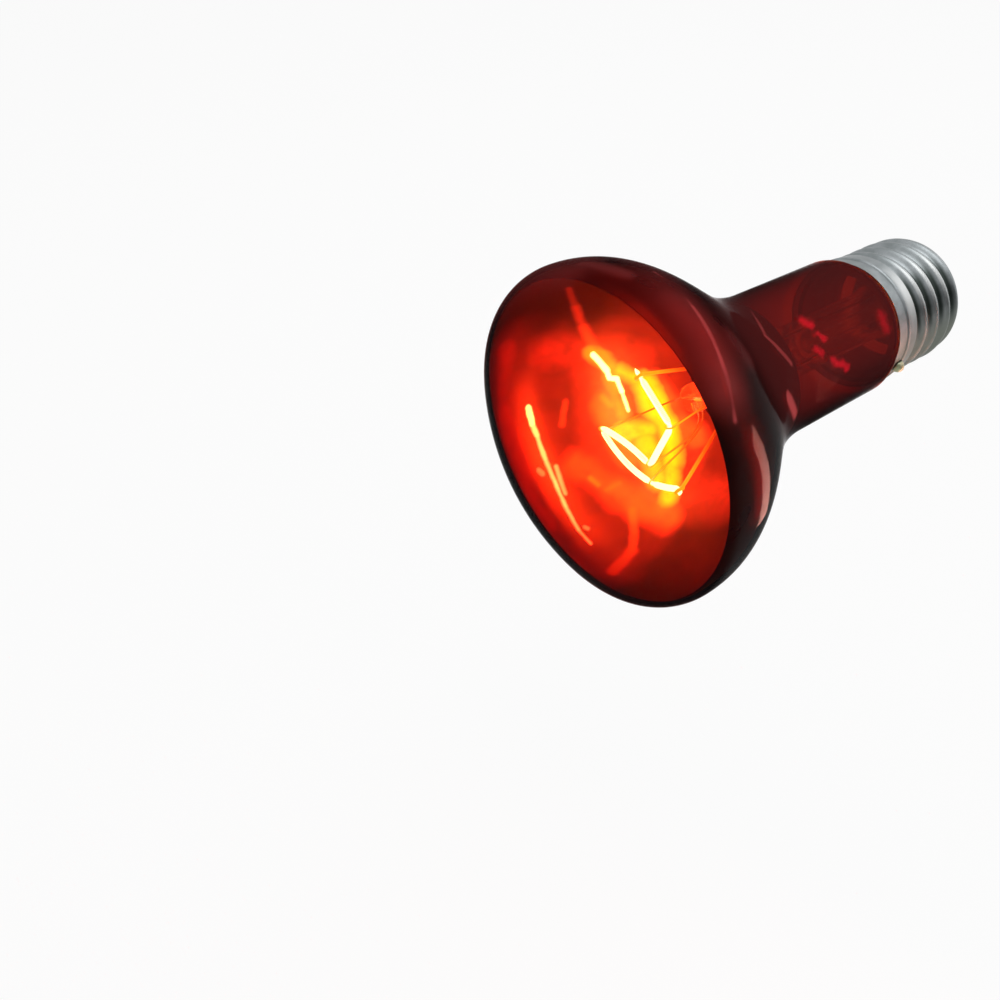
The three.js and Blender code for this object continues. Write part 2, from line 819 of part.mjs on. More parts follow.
function sideSolder() {
  const blob = new THREE.SphereGeometry(1, smallSegments, blobRings);
  blob.scale(sideSolderDepth, sideSolderHeight / 2, sideSolderWidth / 2);
  blob.rotateY(degrees(sideSolderTurn));
  const centre = place(skirtRadius - sideSolderSink, sideSolderTurn, capHeight - sideSolderDrop);
  blob.translate(centre.x, centre.y, centre.z);
  const keepOut = shellStations().map(({ at, normal }) => point(at.x + normal.x * pieceGap, at.y));
  const top = capHeight + pieceGap;
  const shellSpace = revolve(
    [
      point(0, keepOut[0].y - cutOverrun),
      point(keepOut[0].x, keepOut[0].y - cutOverrun),
      ...keepOut,
      point(skirtRadius + pieceGap, top + cutOverrun),
      point(0, top + cutOverrun),
    ],
    capSegments,
  );
  return toGeometry(toSolid(blob).subtract(toSolid(shellSpace)));
}

// Assembly
const lamp = new THREE.Group();
const bench = new THREE.Group();
bench.rotation.x = Math.PI;
lamp.add(bench);

function fit(name, geometry, look) {
  const mesh = new THREE.Mesh(geometry, new THREE.MeshStandardMaterial(look));
  mesh.name = name;
  bench.add(mesh);
}

fit("glass_bulb", glassBulb(), colours.rubyGlass);
fit("mirror_coating", mirrorCoating(), colours.mirror);
fit("stem", stem(), colours.clearGlass);
fit("exhaust_tube", exhaustTube(), colours.clearGlass);
fit("arbor_rod", arborRod(), colours.clearGlass);
fit("filament", filament(), colours.tungsten);

supportHooks.forEach(({ name, turn }, order) => {
  const { end, exit } = supportRoot(turn, order);
  fit(name, hookedWire([end, exit], hookCentres[order + 1], hookAlong[order + 1], supportDiameter), colours.nickel);
});

fit("inner_lead_upper", innerLead(0, pressTurn), colours.nickel);
fit("inner_lead_lower", innerLead(hookShares.length - 1, pressTurn + 180), colours.nickel);
fit("seal_wire_upper", sealWire(pressTurn), colours.copper);
fit("seal_wire_lower", sealWire(pressTurn + 180), colours.copper);
fit("fuse_wire", fuseWire(), colours.copper);
fit("centre_lead", centreLead(), colours.copper);
fit("side_lead", sideLead(), colours.copper);

fit("cap_shell", capShell(), colours.capMetal);
fit("cap_cement", cement(), colours.cement);
fit("cap_insulator", insulator(), colours.blackGlass);
fit("end_contact", endContact(), colours.brass);
fit("contact_solder", contactSolder(), colours.solder);
fit("side_solder", sideSolder(), colours.solder);

export default lamp;
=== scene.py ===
"""Infrared reflector lamp, lit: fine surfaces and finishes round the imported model, with studio and camera."""
import logging
import math
from collections.abc import Callable, Sequence
from dataclasses import dataclass, field
from enum import Enum
from functools import reduce

import bmesh
import bpy
from mathutils import Matrix, Vector
from mathutils.geometry import interpolate_bezier


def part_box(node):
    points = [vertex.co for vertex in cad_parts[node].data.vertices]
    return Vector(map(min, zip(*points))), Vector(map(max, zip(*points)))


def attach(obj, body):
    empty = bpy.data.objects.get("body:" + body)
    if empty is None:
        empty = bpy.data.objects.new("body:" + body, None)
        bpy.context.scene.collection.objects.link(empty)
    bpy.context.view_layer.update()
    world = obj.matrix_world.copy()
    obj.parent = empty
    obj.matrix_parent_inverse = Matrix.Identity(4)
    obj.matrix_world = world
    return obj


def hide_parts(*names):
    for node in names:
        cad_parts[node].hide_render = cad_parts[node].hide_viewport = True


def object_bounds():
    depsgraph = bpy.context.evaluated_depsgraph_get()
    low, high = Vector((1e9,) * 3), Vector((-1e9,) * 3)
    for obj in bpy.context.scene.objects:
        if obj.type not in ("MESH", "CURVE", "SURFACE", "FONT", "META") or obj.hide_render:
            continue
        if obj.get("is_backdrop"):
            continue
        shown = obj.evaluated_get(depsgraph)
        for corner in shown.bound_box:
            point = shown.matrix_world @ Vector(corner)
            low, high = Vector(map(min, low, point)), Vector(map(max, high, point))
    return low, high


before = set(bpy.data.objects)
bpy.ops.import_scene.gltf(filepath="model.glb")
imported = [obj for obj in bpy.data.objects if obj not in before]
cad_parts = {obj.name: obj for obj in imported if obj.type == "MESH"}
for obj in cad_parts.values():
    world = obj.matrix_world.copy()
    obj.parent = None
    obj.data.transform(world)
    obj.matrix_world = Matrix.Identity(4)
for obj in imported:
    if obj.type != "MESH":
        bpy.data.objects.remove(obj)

LOG = logging.getLogger("infrared_lamp")

# Metres in a millimetre, and the distance in metres within which points are merged
MM = 0.001
WELD = 1e-6

# An edge stays sharp past CREASE degrees. Two triangles within FLAT radians make a quad, whatever its shape.
CREASE = 35.0
FLAT = 0.02
ANY_SHAPE = 3.0

BODY = "root"

Colour = tuple[float, float, float, float]
Triple = tuple[float, float, float]

# Where a smooth step starts and where it ends
Span = tuple[float, float]


def grey(level: float) -> Colour:
    """Return an even grey of the given level."""
    return (level, level, level, 1.0)


# Shader maths


class Signal:
    """A socket that carries one number, on which plain arithmetic adds Math nodes."""

    def __init__(self, bench: "Bench", socket: bpy.types.NodeSocket) -> None:
        """Keep the socket and the bench that its node stands on."""
        self.bench = bench
        self.socket = socket

    def _math(self, operation: str, *values: "Signal | float") -> "Signal":
        """Add a Math node on the given values."""
        return self.bench.signal("ShaderNodeMath", {"operation": operation}, dict(enumerate(values)))

    def __add__(self, other: "Signal | float") -> "Signal":
        """Return the sum."""
        return self._math("ADD", self, other)

    __radd__ = __add__

    def __sub__(self, other: "Signal | float") -> "Signal":
        """Return the difference."""
        return self._math("SUBTRACT", self, other)

    def __rsub__(self, other: float) -> "Signal":
        """Return a number less this signal."""
        return self._math("SUBTRACT", other, self)

    def __mul__(self, other: "Signal | float") -> "Signal":
        """Return the product."""
        return self._math("MULTIPLY", self, other)

    __rmul__ = __mul__

    def __truediv__(self, other: "Signal | float") -> "Signal":
        """Return the quotient."""
        return self._math("DIVIDE", self, other)

    def __pow__(self, power: float) -> "Signal":
        """Return this signal raised to a power."""
        return self._math("POWER", self, power)

    def most(self, other: "Signal") -> "Signal":
        """Return the greater of the two."""
        return self._math("MAXIMUM", self, other)

    def apart(self, ahead: "Signal") -> "Signal":
        """Return the angle of which this signal and another are the two legs, in degrees from 0 to 180."""
        return self._math("ABSOLUTE", self._math("ARCTAN2", self, ahead)) * math.degrees(1.0)

    def step(self, low: float, high: float) -> "Signal":
        """Rise smoothly from 0 to 1.

        Args:
            low: Value at which the step starts.
            high: Value at which it has reached 1. It may be the smaller one.

        Returns:
            The step as a signal.
        """
        if low > high:
            return 1.0 - self.step(high, low)
        settings = {"interpolation_type": "SMOOTHSTEP"}
        return self.bench.signal("ShaderNodeMapRange", settings, {0: self, 1: low, 2: high})

    def swing(self, amount: float) -> "Signal":
        """Return noise as a swing about 0, by the given amount from end to end."""
        return (self - 0.5) * amount


class Bench:
    """A node tree on which nodes are set out and joined up."""

    # Sockets of a Mix node that mixes colours
    MIX_FIRST = 6
    MIX_SECOND = 7
    MIX_RESULT = 2

    def __init__(self, tree: bpy.types.NodeTree, coordinates: str) -> None:
        """Clear the tree and take its coordinates.

        Args:
            tree: The node tree.
            coordinates: The coordinates that its patterns follow, as a Texture Coordinate node names them.
        """
        self.tree = tree
        self.tree.nodes.clear()
        self.place = self.node("ShaderNodeTexCoord").outputs[coordinates]

    def node(self, kind: str, settings: dict | None = None, sockets: dict | None = None) -> bpy.types.Node:
        """Add a node.

        Args:
            kind: The node's type.
            settings: Properties, which are set first. "stops" holds a ramp's stops as (place, colour).
            sockets: Values or links of the inputs, by name or number.

        Returns:
            The node.
        """
        made = self.tree.nodes.new(kind)
        for name, value in (settings or {}).items():
            if name == "stops":
                self._set_stops(made.color_ramp, value)
            else:
                setattr(made, name, value)
        for key, value in (sockets or {}).items():
            if isinstance(value, Signal):
                self.tree.links.new(value.socket, made.inputs[key])
            elif isinstance(value, bpy.types.NodeSocket):
                self.tree.links.new(value, made.inputs[key])
            else:
                made.inputs[key].default_value = value
        return made

    @staticmethod
    def _set_stops(ramp: bpy.types.ColorRamp, stops: Sequence[tuple[float, Colour]]) -> None:
        """Give a ramp its stops.

        Args:
            ramp: The ramp, which has fewer stops or as many.
            stops: The place and the colour of each stop, in order.
        """
        while len(ramp.elements) < len(stops):
            ramp.elements.new(0.5)
        for element, (place, colour) in zip(ramp.elements, stops):
            element.position = place
            element.color = colour

    def signal(self, kind: str, settings: dict | None = None, sockets: dict | None = None) -> Signal:
        """Add a node and return its first output as a signal."""
        return Signal(self, self.node(kind, settings, sockets).outputs[0])

    def axis(self, name: str) -> Signal:
        """Return one coordinate of the surface point, in metres."""
        return Signal(self, self.node("ShaderNodeSeparateXYZ", None, {0: self.place}).outputs[name])

    def rays(self, *kinds: str) -> list[Signal]:
        """Return a signal for each of the given kinds of ray, which is 1 for a ray of that kind."""
        path = self.node("ShaderNodeLightPath")
        return [Signal(self, path.outputs[f"Is {kind} Ray"]) for kind in kinds]

    def shown(self) -> Signal:
        """Return 1 for rays from the camera and those that glass and metal send on, and 0 for plain light."""
        camera, glossy, through = self.rays("Camera", "Glossy", "Transmission")
        return (camera + glossy + through).step(0.0, 1.0)

    def vector(self, operation: str, sockets: dict, output: int | str = 0) -> bpy.types.NodeSocket:
        """Add a Vector Math node and return one of its outputs."""
        return self.node("ShaderNodeVectorMath", {"operation": operation}, sockets).outputs[output]

    def distance_to_line(self, start: Vector, end: Vector) -> Signal:
        """Return the distance of the surface point from a straight line.

        Args:
            start: One end of the line, in metres.
            end: Its other end.

        Returns:
            The distance in metres.
        """
        span = end - start
        away = self.vector("SUBTRACT", {0: self.place, 1: start})
        along = self.vector("DOT_PRODUCT", {0: away, 1: span / span.length_squared}, "Value")
        share = self.signal("ShaderNodeMapRange", None, {0: along})
        foot = self.vector("SCALE", {0: span, "Scale": share})
        return Signal(self, self.vector("DISTANCE", {0: away, 1: foot}, "Value"))

    def turn_from(self, turn: float) -> Signal:
        """Return how far the surface point lies round the lamp's axis from a given turn.

        Args:
            turn: Angle about the axis from +X towards +Z, in degrees.

        Returns:
            The angle between the two, in degrees from 0 to 180.
        """
        angle = math.radians(turn)
        x = self.axis("X")
        z = self.axis("Z")
        aside = z * math.cos(angle) - x * math.sin(angle)
        return aside.apart(x * math.cos(angle) + z * math.sin(angle))

    def from_axis(self) -> Signal:
        """Return the distance of the surface point from the lamp's axis, in millimetres."""
        return (self.axis("X") ** 2.0 + self.axis("Z") ** 2.0) ** 0.5 * (1 / MM)

    def height(self) -> Signal:
        """Return the height of the surface point over the contact's tip, in millimetres."""
        return self.axis("Y") * (-1 / MM)

    def noise(self, grain: float, detail: float = 3.0, stretch: Triple = (1.0, 1.0, 1.0)) -> Signal:
        """Return cloudy noise between 0 and 1.

        Args:
            grain: Size of a patch, in millimetres.
            detail: Number of finer layers.
            stretch: Factor on the coordinates along each axis.

        Returns:
            The noise as a signal.
        """
        mapping = self.node("ShaderNodeMapping", None, {"Vector": self.place, "Scale": stretch})
        sockets = {"Vector": mapping.outputs[0], "Scale": 1.0 / (grain * MM), "Detail": detail}
        return self.signal("ShaderNodeTexNoise", None, sockets)

    def blend(self, share: Signal, first: object, second: object) -> bpy.types.NodeSocket:
        """Mix two colours, or colour sockets, by a signal."""
        sockets = {0: share, self.MIX_FIRST: first, self.MIX_SECOND: second}
        return self.node("ShaderNodeMix", {"data_type": "RGBA"}, sockets).outputs[self.MIX_RESULT]

    def bump(self, height: Signal, depth: float) -> bpy.types.NodeSocket:
        """Return a normal that height tilts, for a relief of the given depth in millimetres."""
        return self.node("ShaderNodeBump", None, {"Height": height, "Distance": depth * MM}).outputs[0]


class Coat(Bench):
    """A material in the making."""

    def __init__(self, name: str) -> None:
        """Start an empty material.

        Args:
            name: The material's name.
        """
        self.material = bpy.data.materials.new(name)
        self.material.use_nodes = True
        super().__init__(self.material.node_tree, "Object")

    def lit(self, share: Signal, glow: object, strength: float) -> dict:
        """Return the shader's inputs for light of its own, by a share of its full strength."""
        return {"Emission Color": self.blend(share, grey(0.0), glow), "Emission Strength": strength}

    def principled(self, sockets: dict, absorption: dict | None = None) -> bpy.types.Material:
        """Finish the material with one Principled shader.

        Args:
            sockets: Values or links of the shader's inputs.
            absorption: Colour and density of a volume that soaks up light, if there is one.

        Returns:
            The material.
        """
        outputs = {"Surface": self.node("ShaderNodeBsdfPrincipled", None, sockets).outputs[0]}
        if absorption:
            outputs["Volume"] = self.node("ShaderNodeVolumeAbsorption", None, absorption).outputs[0]
        self.node("ShaderNodeOutputMaterial", None, outputs)
        return self.material


# Finishes


@dataclass(frozen=True)
class Glow:
    """A stretch of painted light on a surface of revolution, from one place to another.

    A place is an angle about the axis in degrees and a height in millimetres. The stretch is evenly lit as
    far as its core from the line between them, and fades out at its reach.
    """

    start: tuple[float, float]
    end: tuple[float, float]
    core: float
    reach: float
    level: float

    def light(self, bench: Bench, radius: Callable[[float], float], warp: Signal) -> Signal:
        """Return how brightly it lights the surface point.

        Args:
            bench: The material's bench.
            radius: The surface's radius at a height, in millimetres.
            warp: What is added to the distance from the line, in metres.

        Returns:
            The glow's level there as a signal.
        """
        start, end = (station(radius(height), height, turn) for turn, height in (self.start, self.end))
        gap = bench.distance_to_line(start, end) + warp
        return gap.step(self.reach * MM, self.core * MM) * self.level


def brightest(glows: Sequence[Glow], bench: Bench, radius: Callable[[float], float], warp: Signal) -> Signal:
    """Return how brightly the strongest of some glows lights the surface point."""
    return reduce(Signal.most, [glow.light(bench, radius, warp) for glow in glows])


@dataclass(frozen=True)
class RubyGlass:
    """Blown ruby glass, which darkens with the way that light has in it. Lengths are millimetres."""

    tint: Colour = (0.62, 0.28, 0.1, 1.0)
    depth_tint: Colour = (0.633, 0.0, 0.0, 1.0)
    density: float = 1733.0
    ior: float = 1.005
    gloss: float = 0.006
    bowl_gloss: float = 0.07
    gloss_blur: float = 0.08
    gloss_turn: float = 18.0
    gloss_sides: Span = (45.0, 25.0)
    gloss_foot: Span = (64.0, 74.0)
    gloss_top: Span = (91.0, 88.5)
    wave_grain: float = 22.0
    wave_detail: float = 1.0
    wave_depth: float = 0.05
    painted_haze_grain: float = 9.0
    painted_haze_drift: float = 1.6
    painted_glint_grain: float = 1.6
    painted_glint_drift: float = 2.2
    # A faint grey painted glow over all the glass, for a haze of reflected light
    faint_painted_glow: float = 0.002
    painted_haze: Colour = (1.0, 0.14, 0.14, 1.0)
    painted_glint: Colour = (1.0, 0.01, 0.03, 1.0)
    # Painted reflections of the studio's lights on the glass, given off as faint red glows
    sheens: tuple[Glow, ...] = (
        Glow((105, 80.0), (76, 84.0), 0.5, 8.0, 0.045),
        Glow((107, 89.5), (92, 87.3), 0.3, 2.8, 0.08),
        Glow((60, 79.0), (53, 77.5), 0.5, 4.0, 0.05),
        Glow((76, 84.0), (48, 86.0), 0.5, 7.0, 0.07),
        Glow((91, 82.1), (73, 82.8), 0.0, 0.9, 0.2),
        Glow((73, 82.8), (57, 84.6), 0.0, 1.0, 0.3),
        Glow((57, 84.6), (39, 87.4), 0.0, 1.0, 0.3),
        Glow((94, 57.5), (78, 59.8), 0.0, 0.6, 0.12),
        Glow((78, 59.8), (63, 62.0), 0.0, 0.6, 0.16),
        Glow((63, 62.0), (42, 58.3), 0.0, 0.7, 0.2),
        Glow((27, 63.0), (10, 59.5), 0.4, 1.7, 0.32),
        Glow((60, 28.0), (60, 64.0), 8.0, 22.0, 0.042),
        Glow((160, 90.0), (110, 90.0), 2.0, 8.0, 0.05),
    )
    # Painted glints: small red spots of the filament's light in the neck, given off as a glow
    painted_glints: tuple[Glow, ...] = (
        Glow((66, 49.8), (60, 48.6), 0.0, 1.5, 0.36),
        Glow((52, 48.2), (47, 47.4), 0.0, 1.1, 0.34),
        Glow((43, 50.1), (38, 49.4), 0.0, 1.1, 0.33),
        Glow((29, 46.6), (19, 43.4), 0.0, 1.3, 0.36),
        Glow((44, 31.4), (33, 31.0), 0.0, 1.7, 0.22),
    )

    def material(self, bulb: "Bulb") -> bpy.types.Material:
        """Return the finish as a material.

        Args:
            bulb: The bulb that it covers.

        Returns:
            The material.
        """
        bench = Coat("ruby_glass")
        drift = bench.noise(self.painted_haze_grain).swing(self.painted_haze_drift * MM)
        painted_haze = brightest(self.sheens, bench, bulb.glass_radius, drift)
        drift = bench.noise(self.painted_glint_grain).swing(self.painted_glint_drift * MM)
        painted_glint = brightest(self.painted_glints, bench, bulb.glass_radius, drift)
        height = bench.height()
        bowl = height.step(*self.gloss_foot) * height.step(*self.gloss_top)
        polish = bench.turn_from(self.gloss_turn).step(*self.gloss_sides) * bowl
        sockets = {
            "Base Color": self.tint,
            "Roughness": 0.0,
            "IOR": self.ior,
            "Transmission Weight": 1.0,
            "Coat Weight": polish * self.bowl_gloss + self.gloss,
            "Coat Roughness": self.gloss_blur,
            # Painted light: glints over reflections over a faint grey glow
            "Emission Color": bench.blend(painted_glint, bench.blend(painted_haze, grey(self.faint_painted_glow), self.painted_haze), self.painted_glint),
            "Emission Strength": 1.0,
            "Normal": bench.bump(bench.noise(self.wave_grain, self.wave_detail), self.wave_depth),
        }
        return bench.principled(sockets, {"Color": self.depth_tint, "Density": self.density})


@dataclass(frozen=True)
class MirrorFilm:
    """Vapour-coated aluminium, on which the filament's light is painted as a glow. Lengths are millimetres.

    Its painted red field lies round one turn, reaches as many degrees to either side as its width, and
    flares lower down. Its glows, streaks and lines are painted reflections of the filament. The glow
    colours say what light each level of the painted glow gives off.
    """

    tint: Colour = (0.42, 0.28, 0.1, 1.0)
    roughness: float = 0.26
    wear: float = 0.1
    dent_grain: float = 8.0
    dent_detail: float = 1.0
    dent_depth: float = 0.01
    strength: float = 120.0
    painted_glow_colours: tuple[tuple[float, Triple], ...] = (
        (0.0, (0.0, 0.0, 0.0)),
        (3.5, (3.4, 0.5, 0.3)),
        (10.0, (3.8, 2.8, 0.6)),
        (60.0, (4.4, 16.0, 0.3)),
    )
    # Painted red glow of the filament's light, spread over one side of the mirror
    field_turn: float = 228.0
    field_width: float = 55.0
    field_flare: float = 18.0
    field_heights: Span = (76.0, 62.0)
    field_edge: Span = (13.0, -8.0)
    field_drift: float = 25.0
    field_level: float = 1.2
    field_mottle: float = 1.8
    base_level: float = 0.05
    cloud_level: float = 0.15
    cloud_grain: float = 9.0
    cloud_drift: float = 5.0
    fine_grain: float = 2.5
    fine_drift: float = 1.5
    brush_grain: float = 5.0
    brush_stretch: Triple = (1.0, 0.2, 1.0)
    glow_mottle: float = 1.2
    # Painted reflections of the filament, blurred into glows
    glows: tuple[Glow, ...] = (
        Glow((-152, 65.0), (-122, 63.5), 0.5, 3.8, 54.0),
        Glow((-122, 63.5), (-101, 67.0), 0.7, 4.0, 56.0),
        Glow((-101, 67.0), (-87, 71.5), 0.4, 3.4, 50.0),
        Glow((-132, 71.0), (-124, 66.5), 0.3, 3.0, 46.0),
        Glow((-177, 73.0), (-165, 68.5), 0.0, 2.3, 24.0),
        Glow((-165, 68.5), (-152, 64.0), 0.2, 2.8, 44.0),
        Glow((-165, 69.5), (-141, 70.0), 0.0, 2.8, 22.0),
        Glow((-148, 72.0), (-118, 72.0), 0.5, 5.0, 10.0),
        Glow((-127, 80.5), (-110, 77.0), 0.5, 6.0, 8.5),
        Glow((-110, 77.0), (-82, 74.0), 0.5, 6.0, 9.0),
        Glow((-150, 64.0), (-108, 61.0), 1.0, 5.8, 7.0),
        Glow((-108, 61.0), (-78, 69.0), 1.0, 6.0, 3.2),
        Glow((-178, 81.0), (-174, 65.0), 0.0, 8.0, 3.0),
        Glow((-165, 72.0), (-120, 76.0), 0.0, 11.0, 3.6),
        Glow((-119, 68.0), (-98, 70.5), 0.6, 4.2, 50.0),
        Glow((-85, 69.0), (-52, 66.0), 0.0, 12.0, 2.6),
        Glow((178, 89.0), (-158, 91.0), 0.0, 5.0, 2.6),
        Glow((-158, 91.0), (-134, 92.0), 0.0, 5.0, 3.6),
        Glow((-134, 92.0), (-110, 93.0), 0.0, 5.0, 3.6),
        Glow((-110, 93.0), (-86, 93.5), 0.0, 4.0, 2.6),
        Glow((155, 68.0), (128, 70.0), 0.0, 9.0, 0.5),
        Glow((-66, 78.0), (-28, 84.0), 0.0, 14.0, 0.4),
    )
    # Painted streaks of the filament's reflected light
    streak_drift: float = 0.8
    streaks: tuple[Glow, ...] = (
        Glow((147, 79.8), (158, 77.0), 0.0, 1.3, 1.0),
        Glow((158, 77.0), (169, 74.8), 0.0, 1.6, 2.2),
        Glow((169, 74.8), (179, 72.8), 0.0, 1.8, 4.2),
        Glow((-96, 77.0), (-88, 79.6), 0.2, 1.4, 6.0),
        Glow((-88, 79.6), (-82.5, 82.5), 0.2, 1.5, 4.5),
        Glow((-82.5, 82.5), (-80, 88.5), 0.2, 2.0, 3.5),
        Glow((-154, 78.1), (-145, 79.9), 0.0, 1.1, 4.5),
        Glow((-152, 71.8), (-147, 71.2), 0.0, 1.2, 9.0),
        Glow((-119, 79.3), (-115, 78.8), 0.0, 0.9, 12.0),
        Glow((-111, 78.1), (-110, 75.6), 0.0, 0.8, 5.0),
    )
    # Painted sharp reflections of the coil, as thin bright lines
    line: Colour = (1.0, 0.8, 0.5, 1.0)
    line_grain: float = 2.0
    line_drift: float = 0.5
    lines: tuple[Glow, ...] = (
        Glow((-175.5, 72.6), (-166, 70.6), 0.1, 0.95, 110.0),
        Glow((-166, 70.6), (-161.5, 70.2), 0.1, 0.75, 110.0),
        Glow((-161.5, 70.2), (-160.5, 69.0), 0.1, 0.75, 100.0),
        Glow((-160.5, 69.0), (-152.5, 68.7), 0.1, 0.75, 100.0),
        Glow((-152.5, 68.7), (-141, 68.5), 0.0, 0.65, 60.0),
        Glow((-156, 85.4), (-149.5, 85.5), 0.35, 0.95, 100.0),
        Glow((-149.5, 85.5), (-144.5, 85.3), 0.2, 0.9, 60.0),
        Glow((-144.5, 85.3), (-134.5, 85.5), 0.1, 0.8, 48.0),
        Glow((-134.5, 85.5), (-125, 85.8), 0.0, 0.8, 42.0),
        Glow((-125, 85.8), (-114, 86.6), 0.0, 0.8, 52.0),
        Glow((-114, 86.6), (-103.5, 87.3), 0.0, 0.75, 42.0),
        Glow((-103.5, 87.3), (-96, 87.3), 0.0, 0.6, 22.0),
        Glow((-131.5, 87.8), (-130, 87.4), 0.2, 0.9, 20.0),
        Glow((-130, 84.1), (-119, 85.2), 0.1, 0.8, 26.0),
        Glow((-103, 85.9), (-102, 85.6), 0.0, 0.8, 15.0),
    )

    def painted_glow(self, bench: Bench, bulb: "Bulb") -> Signal:
        """Work out the level of the painted glow over the mirror.

        Args:
            bench: The material's bench.
            bulb: The bulb whose mirror it covers.

        Returns:
            The level as a signal.
        """
        cloud = bench.noise(self.cloud_grain)
        fine = bench.noise(self.fine_grain)
        brush = bench.noise(self.brush_grain, stretch=self.brush_stretch)
        width = bench.height().step(*self.field_heights) * self.field_flare + self.field_width
        edge = bench.turn_from(self.field_turn) + cloud.swing(self.field_drift) - width
        level = edge.step(*self.field_edge) * (brush.swing(self.field_mottle) + 1.0) * self.field_level
        level = level + cloud * self.cloud_level + self.base_level
        drift = cloud.swing(self.cloud_drift * MM) + fine.swing(self.fine_drift * MM)
        glow = brightest(self.glows, bench, bulb.mirror_radius, drift) * (fine.swing(self.glow_mottle) + 1.0)
        streak = brightest(self.streaks, bench, bulb.mirror_radius, fine.swing(self.streak_drift * MM))
        return glow.most(level) + streak

    def material(self, bulb: "Bulb") -> bpy.types.Material:
        """Return the finish as a material.

        Args:
            bulb: The bulb whose mirror it covers.

        Returns:
            The material.
        """
        bench = Coat("mirror_film")
        stops = []
        for painted_glow, colour in self.painted_glow_colours:
            light = tuple(part / self.strength for part in colour)
            stops.append((painted_glow / self.strength, (*light, 1.0)))
        painted_glow = self.painted_glow(bench, bulb) / self.strength
        glow = bench.node("ShaderNodeValToRGB", {"stops": stops}, {0: painted_glow}).outputs[0]
        drift = bench.noise(self.line_grain).swing(self.line_drift * MM)
        line = brightest(self.lines, bench, bulb.mirror_radius, drift)
        glow = bench.blend(line / self.strength, glow, self.line)
        # A reflection doesn't show the painted glow again, whose reflections are painted too, but a look
        # through the glass does
        glossy, through = bench.rays("Glossy", "Transmission")
        seen = 1.0 - glossy * (1.0 - through)
        return bench.principled({
            "Base Color": self.tint,
            "Metallic": 1.0,
            "Roughness": bench.noise(self.cloud_grain) * self.wear + self.roughness,
            "Normal": bench.bump(bench.noise(self.dent_grain, self.dent_detail), self.dent_depth),
            **bench.lit(seen, glow, self.strength),
        })


@dataclass(frozen=True)
class WornMetal:
    """Metal whose tone and wear follow clouds, and which has fine scratches. Lengths are millimetres."""

    name: str
    light: Colour
    dark: Colour
    roughness: float
    grain: float = 2.5
    detail: float = 4.0
    tone: Span = (0.35, 0.7)
    wear: float = 0.2
    scratch_grain: float = 0.4
    scratch_depth: float = 0.01

    def clouds(self, bench: Coat) -> tuple[Signal, bpy.types.NodeSocket]:
        """Return the clouds and the tone that they give."""
        cloud = bench.noise(self.grain, self.detail)
        return cloud, bench.blend(cloud.step(*self.tone), self.dark, self.light)

    def worn(self, cloud: Signal, colour: bpy.types.NodeSocket) -> dict:
        """Return the shader's inputs for metal of the given colour, worn where the clouds are."""
        roughness = cloud * self.wear + (self.roughness - self.wear / 2)
        return {"Base Color": colour, "Metallic": 1.0, "Roughness": roughness}

    def scratched(self, bench: Coat) -> dict:
        """Return the shader's input for the fine scratches."""
        return {"Normal": bench.bump(bench.noise(self.scratch_grain), self.scratch_depth)}

    def material(self) -> bpy.types.Material:
        """Return the finish as a material.

        Returns:
            The material.
        """
        bench = Coat(self.name)
        cloud, tone = self.clouds(bench)
        return bench.principled(self.worn(cloud, tone) | self.scratched(bench))


@dataclass(frozen=True)
class MirrorBack(WornMetal):
    """The mirror's back, brown and black with a painted sheen on its upper side. Lengths are millimetres."""

    name: str = "mirror_back"
    # The light colour is the painted sheen
    light: Colour = (0.75, 0.4, 0.4, 1.0)
    dark: Colour = (0.12, 0.08, 0.05, 1.0)
    roughness: float = 0.3
    grain: float = 12.0
    sheen_turn: float = 80.0
    sheen_sides: Span = (60.0, 0.0)
    sheen_drift: float = 30.0
    sheen_foot: Span = (56.0, 72.0)

    def material(self) -> bpy.types.Material:
        """Return the finish as a material.

        Returns:
            The material.
        """
        bench = Coat(self.name)
        cloud = bench.noise(self.grain, self.detail)
        # Painted sheen: lighter on the upper side, as under the studio's top light
        turn = bench.turn_from(self.sheen_turn) + cloud.swing(self.sheen_drift)
        share = turn.step(*self.sheen_sides) * bench.height().step(*self.sheen_foot)
        return bench.principled(self.worn(cloud, bench.blend(share, self.dark, self.light)))


@dataclass(frozen=True)
class GlowPaintedNickel(WornMetal):
    """Nickel wire, with the filament's light painted on it as a glow near the hooks. Lengths are millimetres.
    """

    name: str = "nickel_wire"
    light: Colour = (0.62, 0.6, 0.56, 1.0)
    dark: Colour = (0.4, 0.38, 0.35, 1.0)
    roughness: float = 0.35
    glow: Colour = (1.0, 0.3, 0.02, 1.0)
    strength: float = 22.0
    glow_heights: Span = (58.0, 82.0)
    glow_power: float = 4.0
    base: Span = (48.0, 58.0)
    base_level: float = 0.07

    def material(self) -> bpy.types.Material:
        """Return the finish as a material.

        Returns:
            The material.
        """
        bench = Coat(self.name)
        cloud, tone = self.clouds(bench)
        height = bench.height()
        # Painted light: the filament's light on the wire, strongest near the hooks, and a faint glow lower down
        painted_glow = height.step(*self.glow_heights) ** self.glow_power + height.step(*self.base) * self.base_level
        return bench.principled(self.worn(cloud, tone) | bench.lit(painted_glow, self.glow, self.strength))


